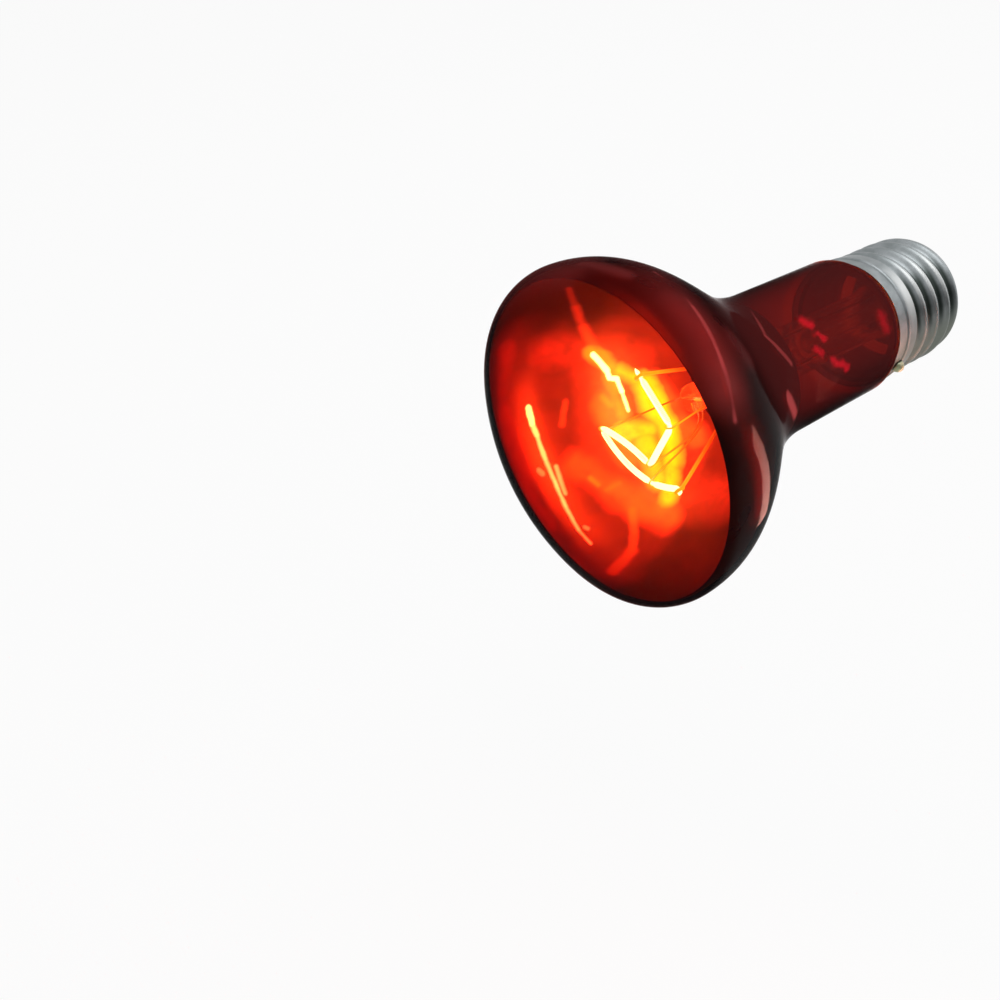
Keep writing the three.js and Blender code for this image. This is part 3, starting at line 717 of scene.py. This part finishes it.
@dataclass(frozen=True)
class CapMetal(WornMetal):
    """Rolled metal of the screw shell, with painted shade and highlights on one side. Lengths are millimetres.
    """

    name: str = "cap_metal"
    light: Colour = (0.27, 0.29, 0.3, 1.0)
    dark: Colour = (0.2, 0.22, 0.225, 1.0)
    roughness: float = 0.4
    thread_top: Span = (23.5, 22.0)
    # Painted shade in the grooves on one side
    groove: Colour = (0.03, 0.04, 0.035, 1.0)
    groove_radii: Span = (12.75, 12.25)
    groove_turn: float = 38.0
    groove_sides: Span = (40.0, 15.0)
    groove_shade_share: float = 0.95
    # Painted highlights on the crests on one side
    crest_highlight: Colour = (0.7, 0.71, 0.7, 1.0)
    crest_radii: Span = (12.75, 13.0)
    crest_turn: float = 52.0
    crest_sides: Span = (35.0, 5.0)
    crest_highlight_share: float = 0.5
    # Painted shade over the lower side
    shade: Colour = (0.12, 0.13, 0.095, 1.0)
    shade_turn: float = -25.0
    shade_sides: Span = (65.0, 20.0)
    shade_share: float = 0.7

    def material(self) -> bpy.types.Material:
        """Return the finish as a material.

        Returns:
            The material.
        """
        bench = Coat(self.name)
        cloud, tone = self.clouds(bench)
        radius = bench.from_axis()
        thread = bench.height().step(*self.thread_top)
        low = radius.step(*self.groove_radii) * bench.turn_from(self.groove_turn).step(*self.groove_sides)
        high = radius.step(*self.crest_radii) * bench.turn_from(self.crest_turn).step(*self.crest_sides)
        shade = bench.turn_from(self.shade_turn).step(*self.shade_sides) * self.shade_share
        # Painted shade and highlights laid over the metal's tone
        colour = bench.blend(shade, tone, self.shade)
        colour = bench.blend(high * thread * self.crest_highlight_share, colour, self.crest_highlight)
        colour = bench.blend(low * thread * self.groove_shade_share, colour, self.groove)
        return bench.principled(self.worn(cloud, colour) | self.scratched(bench))


@dataclass(frozen=True)
class DullSolid:
    """Glass or cement that lets no light through. Lengths are millimetres."""

    name: str
    light: Colour
    dark: Colour
    roughness: float
    grain: float
    relief: float
    detail: float = 5.0
    tone: Span = (0.3, 0.7)
    wear: float = 0.1

    def material(self) -> bpy.types.Material:
        """Return the finish as a material.

        Returns:
            The material.
        """
        bench = Coat(self.name)
        cloud = bench.noise(self.grain, self.detail)
        return bench.principled({
            "Base Color": bench.blend(cloud.step(*self.tone), self.dark, self.light),
            "Roughness": cloud * self.wear + self.roughness,
            "Normal": bench.bump(cloud, self.relief),
        })


@dataclass(frozen=True)
class ClearGlass:
    """Colourless stem glass, with the filament's light painted on as a glow. Lengths are millimetres."""

    tint: Colour = (0.95, 0.97, 0.96, 1.0)
    roughness: float = 0.25
    ior: float = 1.1
    glow: Colour = (1.0, 0.18, 0.06, 1.0)
    strength: float = 2.0
    lit_heights: Span = (52.0, 64.0)
    painted_haze: float = 0.03
    painted_haze_grain: float = 4.0

    def material(self) -> bpy.types.Material:
        """Return the finish as a material.

        Returns:
            The material.
        """
        bench = Coat("clear_glass")
        # Painted light: a glow that grows up the stem, and a faint mottled glow all over
        level = bench.height().step(*self.lit_heights) * self.strength + bench.noise(self.painted_haze_grain) * self.painted_haze
        return bench.principled({
            "Base Color": self.tint,
            "Roughness": self.roughness,
            "IOR": self.ior,
            "Transmission Weight": 1.0,
            **bench.lit(level / self.strength, self.glow, self.strength),
        })


@dataclass(frozen=True)
class HotTungsten:
    """Glowing filament wire."""

    tint: Colour = grey(0.3)
    roughness: float = 0.5
    glow: Colour = (1.0, 0.53, 0.46, 1.0)
    strength: float = 87.0

    def material(self) -> bpy.types.Material:
        """Return the finish as a material.

        Returns:
            The material.
        """
        return Coat("hot_tungsten").principled({
            "Base Color": self.tint,
            "Metallic": 1.0,
            "Roughness": self.roughness,
            "Emission Color": self.glow,
            "Emission Strength": self.strength,
        })


@dataclass(frozen=True)
class LitLining:
    """The cap's inside, with the filament's light through the neck painted on as a glow. Lengths are
    millimetres.
    """

    paint: Colour = (0.3, 0.2, 0.17, 1.0)
    roughness: float = 0.6
    wear: float = 0.1
    grain: float = 5.0
    glow: Colour = (1.0, 0.22, 0.16, 1.0)
    least_glow: float = 0.4
    strength: float = 0.3

    def material(self) -> bpy.types.Material:
        """Return the finish as a material.

        Returns:
            The material.
        """
        bench = Coat("lit_lining")
        cloud = bench.noise(self.grain)
        return bench.principled({
            "Base Color": self.paint,
            "Roughness": cloud * self.wear + self.roughness,
            # Painted light of the filament, mottled by the clouds
            **bench.lit(cloud + self.least_glow, self.glow, self.strength),
        })


# Meshes


def arc(centre: Sequence[float], radius: float, start: float, end: float, steps: int) -> list[Vector]:
    """Sample an arc of a circle.

    Args:
        centre: Its centre, as radius and height.
        radius: Its radius.
        start: First angle in degrees, 0 facing away from the axis and 90 along it.
        end: Last angle in degrees.
        steps: Number of stretches.

    Returns:
        The points from start to end.
    """
    angles = [math.radians(start + (end - start) * i / steps) for i in range(steps + 1)]
    return [Vector(centre) + Vector((math.cos(a), math.sin(a))) * radius for a in angles]


def bend(start: Sequence[float], out: Sequence[float], back: Sequence[float], end: Sequence[float],
         steps: int) -> list[Vector]:
    """Sample a cubic curve from its ends and handles, without its first point."""
    ends = [Vector((*place, 0.0)) for place in (start, out, back, end)]
    return [point.to_2d() for point in interpolate_bezier(*ends, steps + 1)][1:]


def inset(points: Sequence[Vector], depth: float) -> list[Vector]:
    """Move a profile towards the axis, along its own normals.

    Args:
        points: The profile, as radius and height.
        depth: How far each point moves.

    Returns:
        The moved points, none of which passes the axis.
    """
    moved = []
    for i, point in enumerate(points):
        along = (points[min(i + 1, len(points) - 1)] - points[max(i - 1, 0)]).normalized()
        inside = point - Vector((along.y, -along.x)) * depth
        moved.append(Vector((max(0.0, inside.x), inside.y)))
    return moved


def clamped(value: float) -> float:
    """Return a number held between 0 and 1."""
    return max(0.0, min(1.0, value))


def station(radius: float, height: float, turn: float = 0.0) -> Vector:
    """Return a place on the lamp in metres.

    Args:
        radius: Distance from the axis, in millimetres.
        height: Distance from the contact's tip along the axis, in millimetres.
        turn: Angle about the axis from +X towards +Z, in degrees.

    Returns:
        The place in the part's frame.
    """
    angle = math.radians(turn)
    return Vector((radius * math.cos(angle), -height, radius * math.sin(angle))) * MM


def turned(profile: Sequence[Vector], steps: int, ring: bool = False) -> bmesh.types.BMesh:
    """Spin a profile about the lamp's axis.

    Args:
        profile: Its points, as radius and height in millimetres.
        steps: Number of facets round the axis.
        ring: Whether the profile closes on itself away from the axis.

    Returns:
        The closed mesh, facing outwards.
    """
    shape = bmesh.new()
    points = [shape.verts.new(station(p.x, p.y)) for p in profile]
    pairs = list(zip(points, points[1:]))
    if ring:
        pairs.append((points[-1], points[0]))
    edges = [shape.edges.new(pair) for pair in pairs]
    bmesh.ops.spin(shape, geom=points + edges, cent=(0, 0, 0), axis=(0, 1, 0), angle=math.tau, steps=steps,
                   use_merge=True)
    bmesh.ops.remove_doubles(shape, verts=shape.verts[:], dist=WELD)
    bmesh.ops.recalc_face_normals(shape, faces=shape.faces[:])
    return shape


def finished(name: str, shape: bmesh.types.BMesh, coats: Sequence[bpy.types.Material], slot: str,
             *nodes: str) -> bpy.types.Object:
    """Turn a mesh into a piece that stands for its nodes.

    Args:
        name: The piece's name.
        shape: Its mesh, in place.
        coats: Its materials.
        slot: Not used.
        nodes: The nodes that it replaces.

    Returns:
        The piece.
    """
    mesh = bpy.data.meshes.new(name)
    shape.to_mesh(mesh)
    shape.free()
    mesh.shade_smooth()
    mesh.set_sharp_from_angle(angle=math.radians(CREASE))
    for coat in coats:
        mesh.materials.append(coat)
    piece = bpy.data.objects.new(name, mesh)
    bpy.context.scene.collection.objects.link(piece)
    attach(piece, BODY)
    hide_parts(*nodes)
    LOG.info("%s: %d faces", name, len(mesh.polygons))
    return piece


def paint_inside(shape: bmesh.types.BMesh) -> None:
    """Give the faces that look towards the lamp's axis the second material, and the others the first.

    Args:
        shape: The mesh.
    """
    for side in shape.faces:
        middle = side.calc_center_median()
        reach = Vector((middle.x, 0.0, middle.z))
        side.material_index = 1 if reach.dot(side.normal) < 0 else 0


def welded(node: str) -> bmesh.types.BMesh:
    """Copy a node's mesh, with its points merged and its flat quads made whole.

    Args:
        node: The node's name.

    Returns:
        The copy.
    """
    shape = bmesh.new()
    shape.from_mesh(bpy.data.objects[node].data)
    bmesh.ops.remove_doubles(shape, verts=shape.verts[:], dist=WELD)
    bmesh.ops.join_triangles(shape, faces=shape.faces[:], angle_face_threshold=FLAT,
                             angle_shape_threshold=ANY_SHAPE)
    return shape


# Sub-assemblies


@dataclass
class Bulb:
    """The blown glass envelope and the mirror that lines its bowl. Lengths are millimetres."""

    wall: float = 0.8
    seat_radius: float = 11.2
    neck_radius: float = 14.3
    waist_radius: float = 14.55
    shoulder_foot: float = 24.6
    shoulder_top: float = 28.2
    shoulder_foot_pull: float = 2.3
    shoulder_top_pull: float = 0.9
    waist_height: float = 49.6
    widest_height: float = 89.2
    waist_pull: float = 18.2
    bowl_pull: float = 15.9
    corner_radius: float = 8.2
    mirror_gap: float = 0.15
    mirror_foot_share: float = 0.12
    mirror_rim_turn: float = 55.0
    mirror_rim_height: float = 92.6
    mirror_rim_rise: float = 2.3
    mirror_rise_turn: float = -152.0
    mirror_thickness: float = 0.14
    facets: int = 144
    shoulder_steps: int = 14
    bowl_steps: int = 40
    corner_steps: int = 14
    face_steps: int = 24
    mirror_steps: int = 60
    rim_steps: int = 20
    radius: float = field(init=False)
    crown: float = field(init=False)
    foot: float = field(init=False)

    def __post_init__(self) -> None:
        """Take the overall sizes from the frame."""
        low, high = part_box("glass_bulb")
        self.radius = high.x / MM
        self.crown = -low.y / MM
        self.foot = -high.y / MM

    def bowl(self, steps: int) -> list[Vector]:
        """Sample the bowl's curve.

        Args:
            steps: Number of stretches.

        Returns:
            The points from the waist to the widest ring, as radius and height.
        """
        waist = (self.waist_radius, self.waist_height)
        waist_handle = (self.waist_radius, self.waist_height + self.waist_pull)
        widest_handle = (self.radius, self.widest_height - self.bowl_pull)
        widest = (self.radius, self.widest_height)
        return [Vector(waist), *bend(waist, waist_handle, widest_handle, widest, steps)]

    def outline(self) -> list[Vector]:
        """Draw the outside of the glass.

        Returns:
            The points from the neck's end to the crown, as radius and height.
        """
        spread = self.radius - self.corner_radius
        rise = self.crown - self.widest_height
        corner = self.corner_radius
        dome = (rise**2 + spread**2 - corner**2) / (2 * (rise - corner))
        meeting = math.degrees(math.atan2(self.widest_height - (self.crown - dome), spread))
        shoulder = bend(
            (self.seat_radius, self.shoulder_foot),
            (self.seat_radius, self.shoulder_foot + self.shoulder_foot_pull),
            (self.neck_radius, self.shoulder_top - self.shoulder_top_pull),
            (self.neck_radius, self.shoulder_top),
            self.shoulder_steps,
        )
        return [
            Vector((self.seat_radius, self.foot)),
            Vector((self.seat_radius, self.shoulder_foot)),
            *shoulder,
            *self.bowl(self.bowl_steps),
            *arc((spread, self.widest_height), corner, 0, meeting, self.corner_steps)[1:],
            *arc((0, self.crown - dome), dome, meeting, 90, self.face_steps)[1:],
        ]

    def build(self) -> None:
        """Make the envelope and the mirror."""
        outside = self.outline()
        inside = inset(outside, self.wall)
        shell = turned(outside[::-1] + inside, self.facets)
        finished("lamp_envelope", shell, [RubyGlass().material(self)], "ruby_glass", "glass_bulb")
        back = self.mirror_back()
        film = turned(back + inset(back, self.mirror_thickness)[::-1], self.facets, ring=True)
        self.trim_rim(film)
        paint_inside(film)
        coats = [MirrorBack().material(), MirrorFilm().material(self)]
        finished("bowl_mirror", film, coats, "mirror_film", "mirror_coating")

    def trim_rim(self, film: bmesh.types.BMesh) -> None:
        """Cut the mirror's rim off a little askew, as the vapour left it.

        Args:
            film: The mirror's mesh.
        """
        angle = math.radians(self.mirror_rise_turn)
        slope = self.mirror_rim_rise / self.radius
        away = Vector((-slope * math.cos(angle), -1.0, -slope * math.sin(angle)))
        rim = station(0.0, self.mirror_rim_height)
        parts = film.verts[:] + film.edges[:] + film.faces[:]
        cut = bmesh.ops.bisect_plane(film, geom=parts, dist=WELD, plane_co=rim, plane_no=away,
                                     clear_outer=True)
        edges = [part for part in cut["geom_cut"] if isinstance(part, bmesh.types.BMEdge)]
        bmesh.ops.bridge_loops(film, edges=edges)
        bmesh.ops.recalc_face_normals(film, faces=film.faces[:])

    def mirror_back(self) -> list[Vector]:
        """Draw the outside of the mirror.

        Returns:
            The points from the waist to well past the widest ring, as radius and height.
        """
        lining = self.bowl(self.mirror_steps)[round(self.mirror_foot_share * self.mirror_steps):]
        centre = (self.radius - self.corner_radius, self.widest_height)
        lining += arc(centre, self.corner_radius, 0, self.mirror_rim_turn, self.rim_steps)[1:]
        return inset(lining, self.wall + self.mirror_gap)

    def glass_radius(self, height: float) -> float:
        """Return the radius of the outside of the glass at a height."""
        return min(self.outline(), key=lambda point: abs(point.y - height)).x

    def mirror_radius(self, height: float) -> float:
        """Return the radius of the mirror's face at a height."""
        face = inset(self.mirror_back(), self.mirror_thickness)
        return min(face, key=lambda point: abs(point.y - height)).x


@dataclass
class Filament:
    """The coiled tungsten wire on its hooks. Lengths are millimetres."""

    # How far a cubic's handles reach towards the one point that a simpler curve leans to
    HANDLE_SHARE = 2 / 3

    height: float = 81.75
    hooks: tuple[tuple[float, float], ...] = (
        (10.09, 95.7),
        (9.16, 30.9),
        (7.89, -55.8),
        (11.72, -143.9),
        (11.48, -61.0),
        (13.92, -26.5),
    )
    bow_shares: tuple[float, ...] = (0.0, 0.0, 0.0, -0.055, 0.095, 0.03, 0.0)
    tail_turns: tuple[float, float] = (149.0, -94.0)
    tail: float = 1.6
    bend: float = 0.9
    wire: float = 0.2
    coil: float = 1.2
    coil_at_hook: float = 0.7
    pitch: float = 0.3
    ramp: float = 0.9
    steps_per_curl: int = 12
    span_steps: int = 60
    corner_steps: int = 12

    def corners(self) -> list[Vector]:
        """Find the places between which the coil is drawn.

        Returns:
            The first tail's end, the hooks in their order and the last tail's end, in metres.
        """
        held = [station(radius, self.height, turn) for radius, turn in self.hooks]
        first, last = (station(self.tail, 0.0, turn) for turn in self.tail_turns)
        return [held[0] + first, *held, held[-1] + last]

    def route(self) -> list[Vector]:
        """Draw the coil's centre line, with its corners rounded.

        Returns:
            Closely set points, in metres.
        """
        corners = self.corners()
        leans = []
        for start, end, bow in zip(corners, corners[1:], self.bow_shares):
            lean = (start + end) / 2
            leans.append(lean + Vector((lean.x, 0, lean.z)).normalized() * 2 * bow * (end - start).length)
        points = []
        enter = corners[0]
        for i, lean in enumerate(leans):
            corner = corners[i + 1]
            inner = i < len(leans) - 1
            leave = corner + (lean - corner).normalized() * self.bend * MM if inner else corner
            points += self.lean_over(enter, lean, leave, self.span_steps)
            if inner:
                enter = corner + (leans[i + 1] - corner).normalized() * self.bend * MM
                points += self.lean_over(leave, corner, enter, self.corner_steps)
        return [*points, corners[-1]]

    def lean_over(self, start: Vector, lean: Vector, end: Vector, steps: int) -> list[Vector]:
        """Sample a curve that leans towards a point on its way, without its last point."""
        handles = (place.lerp(lean, self.HANDLE_SHARE) for place in (start, end))
        return interpolate_bezier(start, *handles, end, steps + 1)[:-1]

    def coil_radius(self, place: Vector, to_end: float) -> float:
        """Return the coil's radius, which is drawn in at the hooks and at the ends.

        Args:
            place: The point of the centre line.
            to_end: Its distance from the nearer end along the line.

        Returns:
            The radius in metres.
        """
        nearest = min((place - corner).length for corner in self.corners()[1:-1]) / MM
        out = clamped((nearest - self.bend / 2) / self.ramp)
        full = self.coil_at_hook + (self.coil - self.coil_at_hook) * out
        end = clamped(to_end / MM / self.ramp)
        return (full * end - self.wire * end) / 2 * MM

    def build(self) -> None:
        """Wind the wire."""
        route = self.route()
        lengths = [0.0]
        for before, after in zip(route, route[1:]):
            lengths.append(lengths[-1] + (after - before).length)
        total = lengths[-1]
        steps = round(total / (self.pitch * MM) * self.steps_per_curl)
        across = Vector((0, 1, 0))
        wire = []
        k = 0
        for i in range(steps + 1):
            travelled = total * i / steps
            while k < len(route) - 2 and lengths[k + 1] < travelled:
                k += 1
            along = (route[k + 1] - route[k]).normalized()
            centre = route[k].lerp(route[k + 1], (travelled - lengths[k]) / (lengths[k + 1] - lengths[k]))
            across = (across - along * across.dot(along)).normalized()
            radius = self.coil_radius(centre, min(travelled, total - travelled))
            angle = math.tau * i / self.steps_per_curl
            wire.append(centre + Matrix.Rotation(angle, 3, along) @ across * radius)
        self.sweep(wire)

    def sweep(self, wire: Sequence[Vector]) -> None:
        """Give the wire its thickness and finish the piece.

        Args:
            wire: Points of the wire's centre line, in metres.
        """
        curve = bpy.data.curves.new("filament_route", "CURVE")
        curve.dimensions = "3D"
        curve.bevel_depth = self.wire / 2 * MM
        curve.bevel_resolution = 1
        curve.use_fill_caps = True
        spline = curve.splines.new("POLY")
        spline.points.add(len(wire) - 1)
        for point, place in zip(spline.points, wire):
            point.co = (*place, 1.0)
        holder = bpy.data.objects.new("filament_route", curve)
        mesh = bpy.data.meshes.new_from_object(holder)
        shape = bmesh.new()
        shape.from_mesh(mesh)
        bpy.data.objects.remove(holder)
        piece = finished("filament_coil", shape, [HotTungsten().material()], "tungsten", "filament")
        piece.visible_diffuse = False


@dataclass
class Mount:
    """The glass stem, its tube and rod, and the wires that carry the filament or lead to it."""

    glass: tuple[str, ...] = ("stem", "exhaust_tube", "arbor_rod")
    nickel: tuple[str, ...] = (
        "filament_support_1",
        "filament_support_2",
        "filament_support_3",
        "filament_support_4",
        "inner_lead_upper",
        "inner_lead_lower",
    )
    copper: tuple[str, ...] = ("seal_wire_upper", "seal_wire_lower", "fuse_wire", "centre_lead", "side_lead")
    copper_finish: WornMetal = WornMetal("copper_wire", (0.45, 0.2, 0.12, 1), (0.25, 0.12, 0.08, 1), 0.4)
    rounding_levels: int = 2

    def build(self) -> None:
        """Make the mount's pieces from merged copies of their nodes."""
        clear = ClearGlass().material()
        for node in self.glass:
            finished(f"clear_{node}", welded(node), [clear], "clear_glass", node)
        for nodes, finish in ((self.nickel, GlowPaintedNickel()), (self.copper, self.copper_finish)):
            metal = finish.material()
            for node in nodes:
                self.round_wire(finished(f"round_{node}", welded(node), [metal], finish.name, node))

    def round_wire(self, piece: bpy.types.Object) -> None:
        """Round a six-sided wire.

        Args:
            piece: The wire.
        """
        rounding = piece.modifiers.new("rounding", "SUBSURF")
        rounding.levels = self.rounding_levels
        rounding.render_levels = self.rounding_levels


class CapFinish(Enum):
    """The cap's finishes."""

    METAL = CapMetal()
    LINING = LitLining()
    BRASS = WornMetal("brass", (0.75, 0.6, 0.33, 1), (0.52, 0.4, 0.2, 1), 0.35)
    SOLDER = WornMetal("solder", (0.5, 0.52, 0.38, 1), (0.28, 0.3, 0.18, 1), 0.5, 1.2)
    BLACK_GLASS = DullSolid("black_glass", (0.02, 0.018, 0.024, 1), (0.008, 0.008, 0.01, 1), 0.12, 5.0, 0.02)
    CEMENT = DullSolid("cement", (0.55, 0.48, 0.38, 1), (0.36, 0.31, 0.24, 1), 0.8, 0.8, 0.2)


@dataclass
class Cap:
    """The screw cap. Lengths are millimetres."""

    thread_radius: float = 12.6
    skirt_radius: float = 13.2
    skirt_height: float = 5.8
    step: float = 0.7
    wall: float = 0.35
    foot_round: float = 1.2
    bead_radius: float = 0.5
    bead_sink: float = 0.25
    bead_drop: float = 2.7
    mouth_radius: float = 10.3
    pitch: float = 3.629
    thread_depth: float = 1.05
    thread_foot_gap: float = 0.6
    thread_foot_fade: float = 2.2
    thread_top_gap: float = 0.3
    thread_top_fade: float = 0.9
    groove_height: float = 19.7
    groove_turn: float = 49.0
    drop_share: float = 0.62
    facets: int = 128
    thread_step: float = 0.12
    round_steps: int = 8
    foot: float = field(init=False)
    rim: float = field(init=False)

    def __post_init__(self) -> None:
        """Take the shell's ends from the frame."""
        low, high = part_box("cap_shell")
        self.rim = -low.y / MM
        self.foot = -high.y / MM

    def shell_outline(self) -> list[Vector]:
        """Draw the outside of the shell before its thread is rolled.

        Returns:
            The points from its turned-in foot to its rim, as radius and height.
        """
        top = self.rim - self.skirt_height
        rise = self.foot + self.foot_round
        lands = round((top - rise) / self.thread_step)
        half = math.degrees(math.acos(self.bead_sink / self.bead_radius))
        bead = (self.skirt_radius - self.bead_sink, self.rim - self.bead_drop)
        steps = self.round_steps
        return [
            Vector((self.mouth_radius, self.foot)),
            *arc((self.thread_radius - self.foot_round, rise), self.foot_round, -90, 0, steps),
            *[Vector((self.thread_radius, rise + (top - rise) * i / lands)) for i in range(1, lands + 1)],
            *bend(
                (self.thread_radius, top),
                (self.thread_radius, top + self.step / 2),
                (self.skirt_radius, top + self.step / 2),
                (self.skirt_radius, top + self.step),
                steps,
            ),
            *arc(bead, self.bead_radius, -half, half, steps),
            Vector((self.skirt_radius, self.rim)),
        ]

    def thread_lift(self, place: Vector) -> float:
        """Work out how far the rolled thread moves a point of the shell outwards.

        Args:
            place: The point, in metres.

        Returns:
            The distance in millimetres, less than 0 in a groove.
        """
        height = -place.y / MM
        turn = math.degrees(math.atan2(place.z, place.x))
        wave = (height - self.groove_height) / self.pitch - (turn - self.groove_turn) / 360
        shape = -math.cos(math.tau * wave)
        top = self.rim - self.skirt_height
        foot_share = clamped((height - self.foot - self.thread_foot_gap) / self.thread_foot_fade)
        top_share = clamped((top + self.thread_top_gap - height) / self.thread_top_fade)
        return shape * self.thread_depth / 2 * foot_share * top_share

    def build_shell(self) -> None:
        """Make the shell and roll its thread."""
        outside = self.shell_outline()
        shell = turned(outside + inset(outside, self.wall)[::-1], self.facets, ring=True)
        for vertex in shell.verts:
            reach = Vector((vertex.co.x, 0, vertex.co.z)).normalized()
            vertex.co += reach * self.thread_lift(vertex.co) * MM
        paint_inside(shell)
        # The inside faces take the lining and its painted glow
        coats = [CapFinish.METAL.value.material(), CapFinish.LINING.value.material()]
        finished("screw_shell", shell, coats, "cap_metal", "cap_shell")
        cement = welded("cap_cement")
        paint_inside(cement)
        # The cement's inner faces take the lining's painted glow too
        coats = [CapFinish.CEMENT.value.material(), coats[1]]
        finished("neck_cement", cement, coats, "cement", "cap_cement")

    def build_side_drop(self, solder: bpy.types.Material) -> None:
        """Make the drop on the skirt, drawn in towards the metal that it wets.

        Args:
            solder: Its material.
        """
        drop = welded("side_solder")
        middle = sum((vertex.co for vertex in drop.verts), Vector()) / len(drop.verts)
        skirt = Vector((middle.x, 0.0, middle.z)).normalized() * self.skirt_radius * MM
        foot = skirt + Vector((0.0, middle.y, 0.0))
        scale = Vector((1, 1, 1)) * self.drop_share
        bmesh.ops.scale(drop, vec=scale, space=Matrix.Translation(-foot), verts=drop.verts[:])
        finished("side_drop", drop, [solder], "solder", "side_solder")

    def build(self) -> None:
        """Make the shell and what it holds."""
        self.build_shell()
        solder = CapFinish.SOLDER.value.material()
        black = CapFinish.BLACK_GLASS.value.material()
        brass = CapFinish.BRASS.value.material()
        finished("glass_insulator", welded("cap_insulator"), [black], "black_glass", "cap_insulator")
        finished("contact_plate", welded("end_contact"), [brass], "brass", "end_contact")
        finished("contact_drop", welded("contact_solder"), [solder], "solder", "contact_solder")
        self.build_side_drop(solder)


# Studio


@dataclass(frozen=True)
class SoftBox:
    """An area light, which faces the lamp unless it is told where to look. Lengths are metres."""

    name: str
    place: Triple
    width: float
    height: float
    power: float
    facing: Triple | None = None
    roll: float = 0.0
    colour: Triple = (1.0, 1.0, 1.0)

    def build(self, target: Vector) -> None:
        """Hang the light and turn it.

        Args:
            target: The lamp's middle, in metres.
        """
        data = bpy.data.lights.new(self.name, "AREA")
        data.shape = "RECTANGLE"
        data.size = self.width
        data.size_y = self.height
        data.energy = self.power
        data.color = self.colour
        light = bpy.data.objects.new(self.name, data)
        light.location = self.place
        ahead = Vector(self.facing) if self.facing else target - Vector(self.place)
        turn = ahead.to_track_quat("-Z", "Y").to_matrix()
        light.rotation_euler = (turn @ Matrix.Rotation(math.radians(self.roll), 3, "Z")).to_euler()
        light.visible_camera = False
        bpy.context.scene.collection.objects.link(light)


@dataclass
class Studio:
    """Pale floor, soft light and the photograph's camera. Lengths are metres."""

    floor_drop: float = 0.15
    floor_size: float = 6.0
    floor_grain: float = 0.4
    floor_detail: float = 2.0
    floor_dark: float = 0.84
    floor_pale: float = 0.88
    floor_share: float = 0.9
    world_level: float = 0.45
    dark_turn: float = -5.0
    dark_side: Span = (0.5, 0.85)
    dark_top: Span = (0.75, 0.5)
    dark_depth: float = 0.92
    camera_place: Triple = (0.08888, -0.17414, 0.10241)
    camera_azimuth: float = 55.006
    camera_elevation: float = 43.918
    lens: float = 32.4
    sensor: float = 36.0
    boxes: tuple[SoftBox, ...] = (
        SoftBox("top_box", (0.0, 0.1, 1.2), 1.0, 1.0, 8.0),
        SoftBox("back_box", (0.05, 0.95, 0.5), 0.9, 0.35, 1.2),
        SoftBox("strip_box", (0.059, 0.005, -0.026), 0.026, 0.09, 0.2, (0.39, -0.91, 0.1), 31.0,
                (1.0, 0.42, 0.34)),
    )

    def build(self) -> None:
        """Set up the camera, the lights, the world and the floor."""
        scene = bpy.context.scene
        scene.view_settings.view_transform = "Standard"
        data = bpy.data.cameras.new("photo_camera")
        data.sensor_width = self.sensor
        data.lens = self.lens
        camera = bpy.data.objects.new("photo_camera", data)
        camera.location = self.camera_place
        tilt = math.radians(90 - self.camera_elevation)
        camera.rotation_euler = (tilt, 0, math.radians(self.camera_azimuth))
        scene.collection.objects.link(camera)
        scene.camera = camera
        low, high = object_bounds()
        for box in self.boxes:
            box.build((low + high) / 2)
        self.build_world(scene)
        self.build_floor(low.z - self.floor_drop)

    def build_world(self, scene: bpy.types.Scene) -> None:
        """Give the world an even grey, which looks white to the camera and in glass and metal.

        To all but the camera one side of the room is dark up to a height, as beside a window.

        Args:
            scene: The scene.
        """
        world = bpy.data.worlds.new("studio")
        scene.world = world
        world.use_nodes = True
        bench = Bench(world.node_tree, "Generated")
        camera = bench.rays("Camera")[0]
        angle = math.radians(self.dark_turn)
        side = bench.axis("X") * math.cos(angle) + bench.axis("Y") * math.sin(angle)
        low = bench.axis("Z").step(*self.dark_top)
        dark = side.step(*self.dark_side) * low * (1.0 - camera)
        level = bench.shown() * (1.0 - self.world_level) + self.world_level
        level = level * (1.0 - dark * self.dark_depth)
        backdrop = bench.node("ShaderNodeBackground", None, {0: grey(1.0), 1: level})
        bench.node("ShaderNodeOutputWorld", None, {"Surface": backdrop.outputs[0]})

    def build_floor(self, height: float) -> None:
        """Lay the floor, which keeps a faint shadow.

        Args:
            height: Its height, in metres.
        """
        bench = Coat("pale_floor")
        cloud = bench.noise(self.floor_grain / MM, self.floor_detail)
        colour = bench.blend(cloud, grey(self.floor_dark), grey(self.floor_pale))
        paint = bench.node("ShaderNodeBsdfDiffuse", None, {"Color": colour})
        glow = bench.node("ShaderNodeEmission", None, {"Color": grey(1.0), "Strength": 1.0})
        sockets = {0: bench.shown() * self.floor_share, 1: paint.outputs[0], 2: glow.outputs[0]}
        mixed = bench.node("ShaderNodeMixShader", None, sockets)
        bench.node("ShaderNodeOutputMaterial", None, {"Surface": mixed.outputs[0]})
        shape = bmesh.new()
        bmesh.ops.create_grid(shape, x_segments=1, y_segments=1, size=self.floor_size)
        bmesh.ops.translate(shape, verts=shape.verts[:], vec=(0, 0, height))
        mesh = bpy.data.meshes.new("floor")
        shape.to_mesh(mesh)
        shape.free()
        mesh.materials.append(bench.material)
        floor = bpy.data.objects.new("floor", mesh)
        bpy.context.scene.collection.objects.link(floor)
        floor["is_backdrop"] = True


def main() -> None:
    """Build the studio and the lamp's sub-assemblies in order."""
    logging.basicConfig(level=logging.INFO, format="%(name)s: %(message)s")
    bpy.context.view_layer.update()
    Studio().build()
    Bulb().build()
    Filament().build()
    Mount().build()
    Cap().build()


if __name__ == "__main__":
    main()
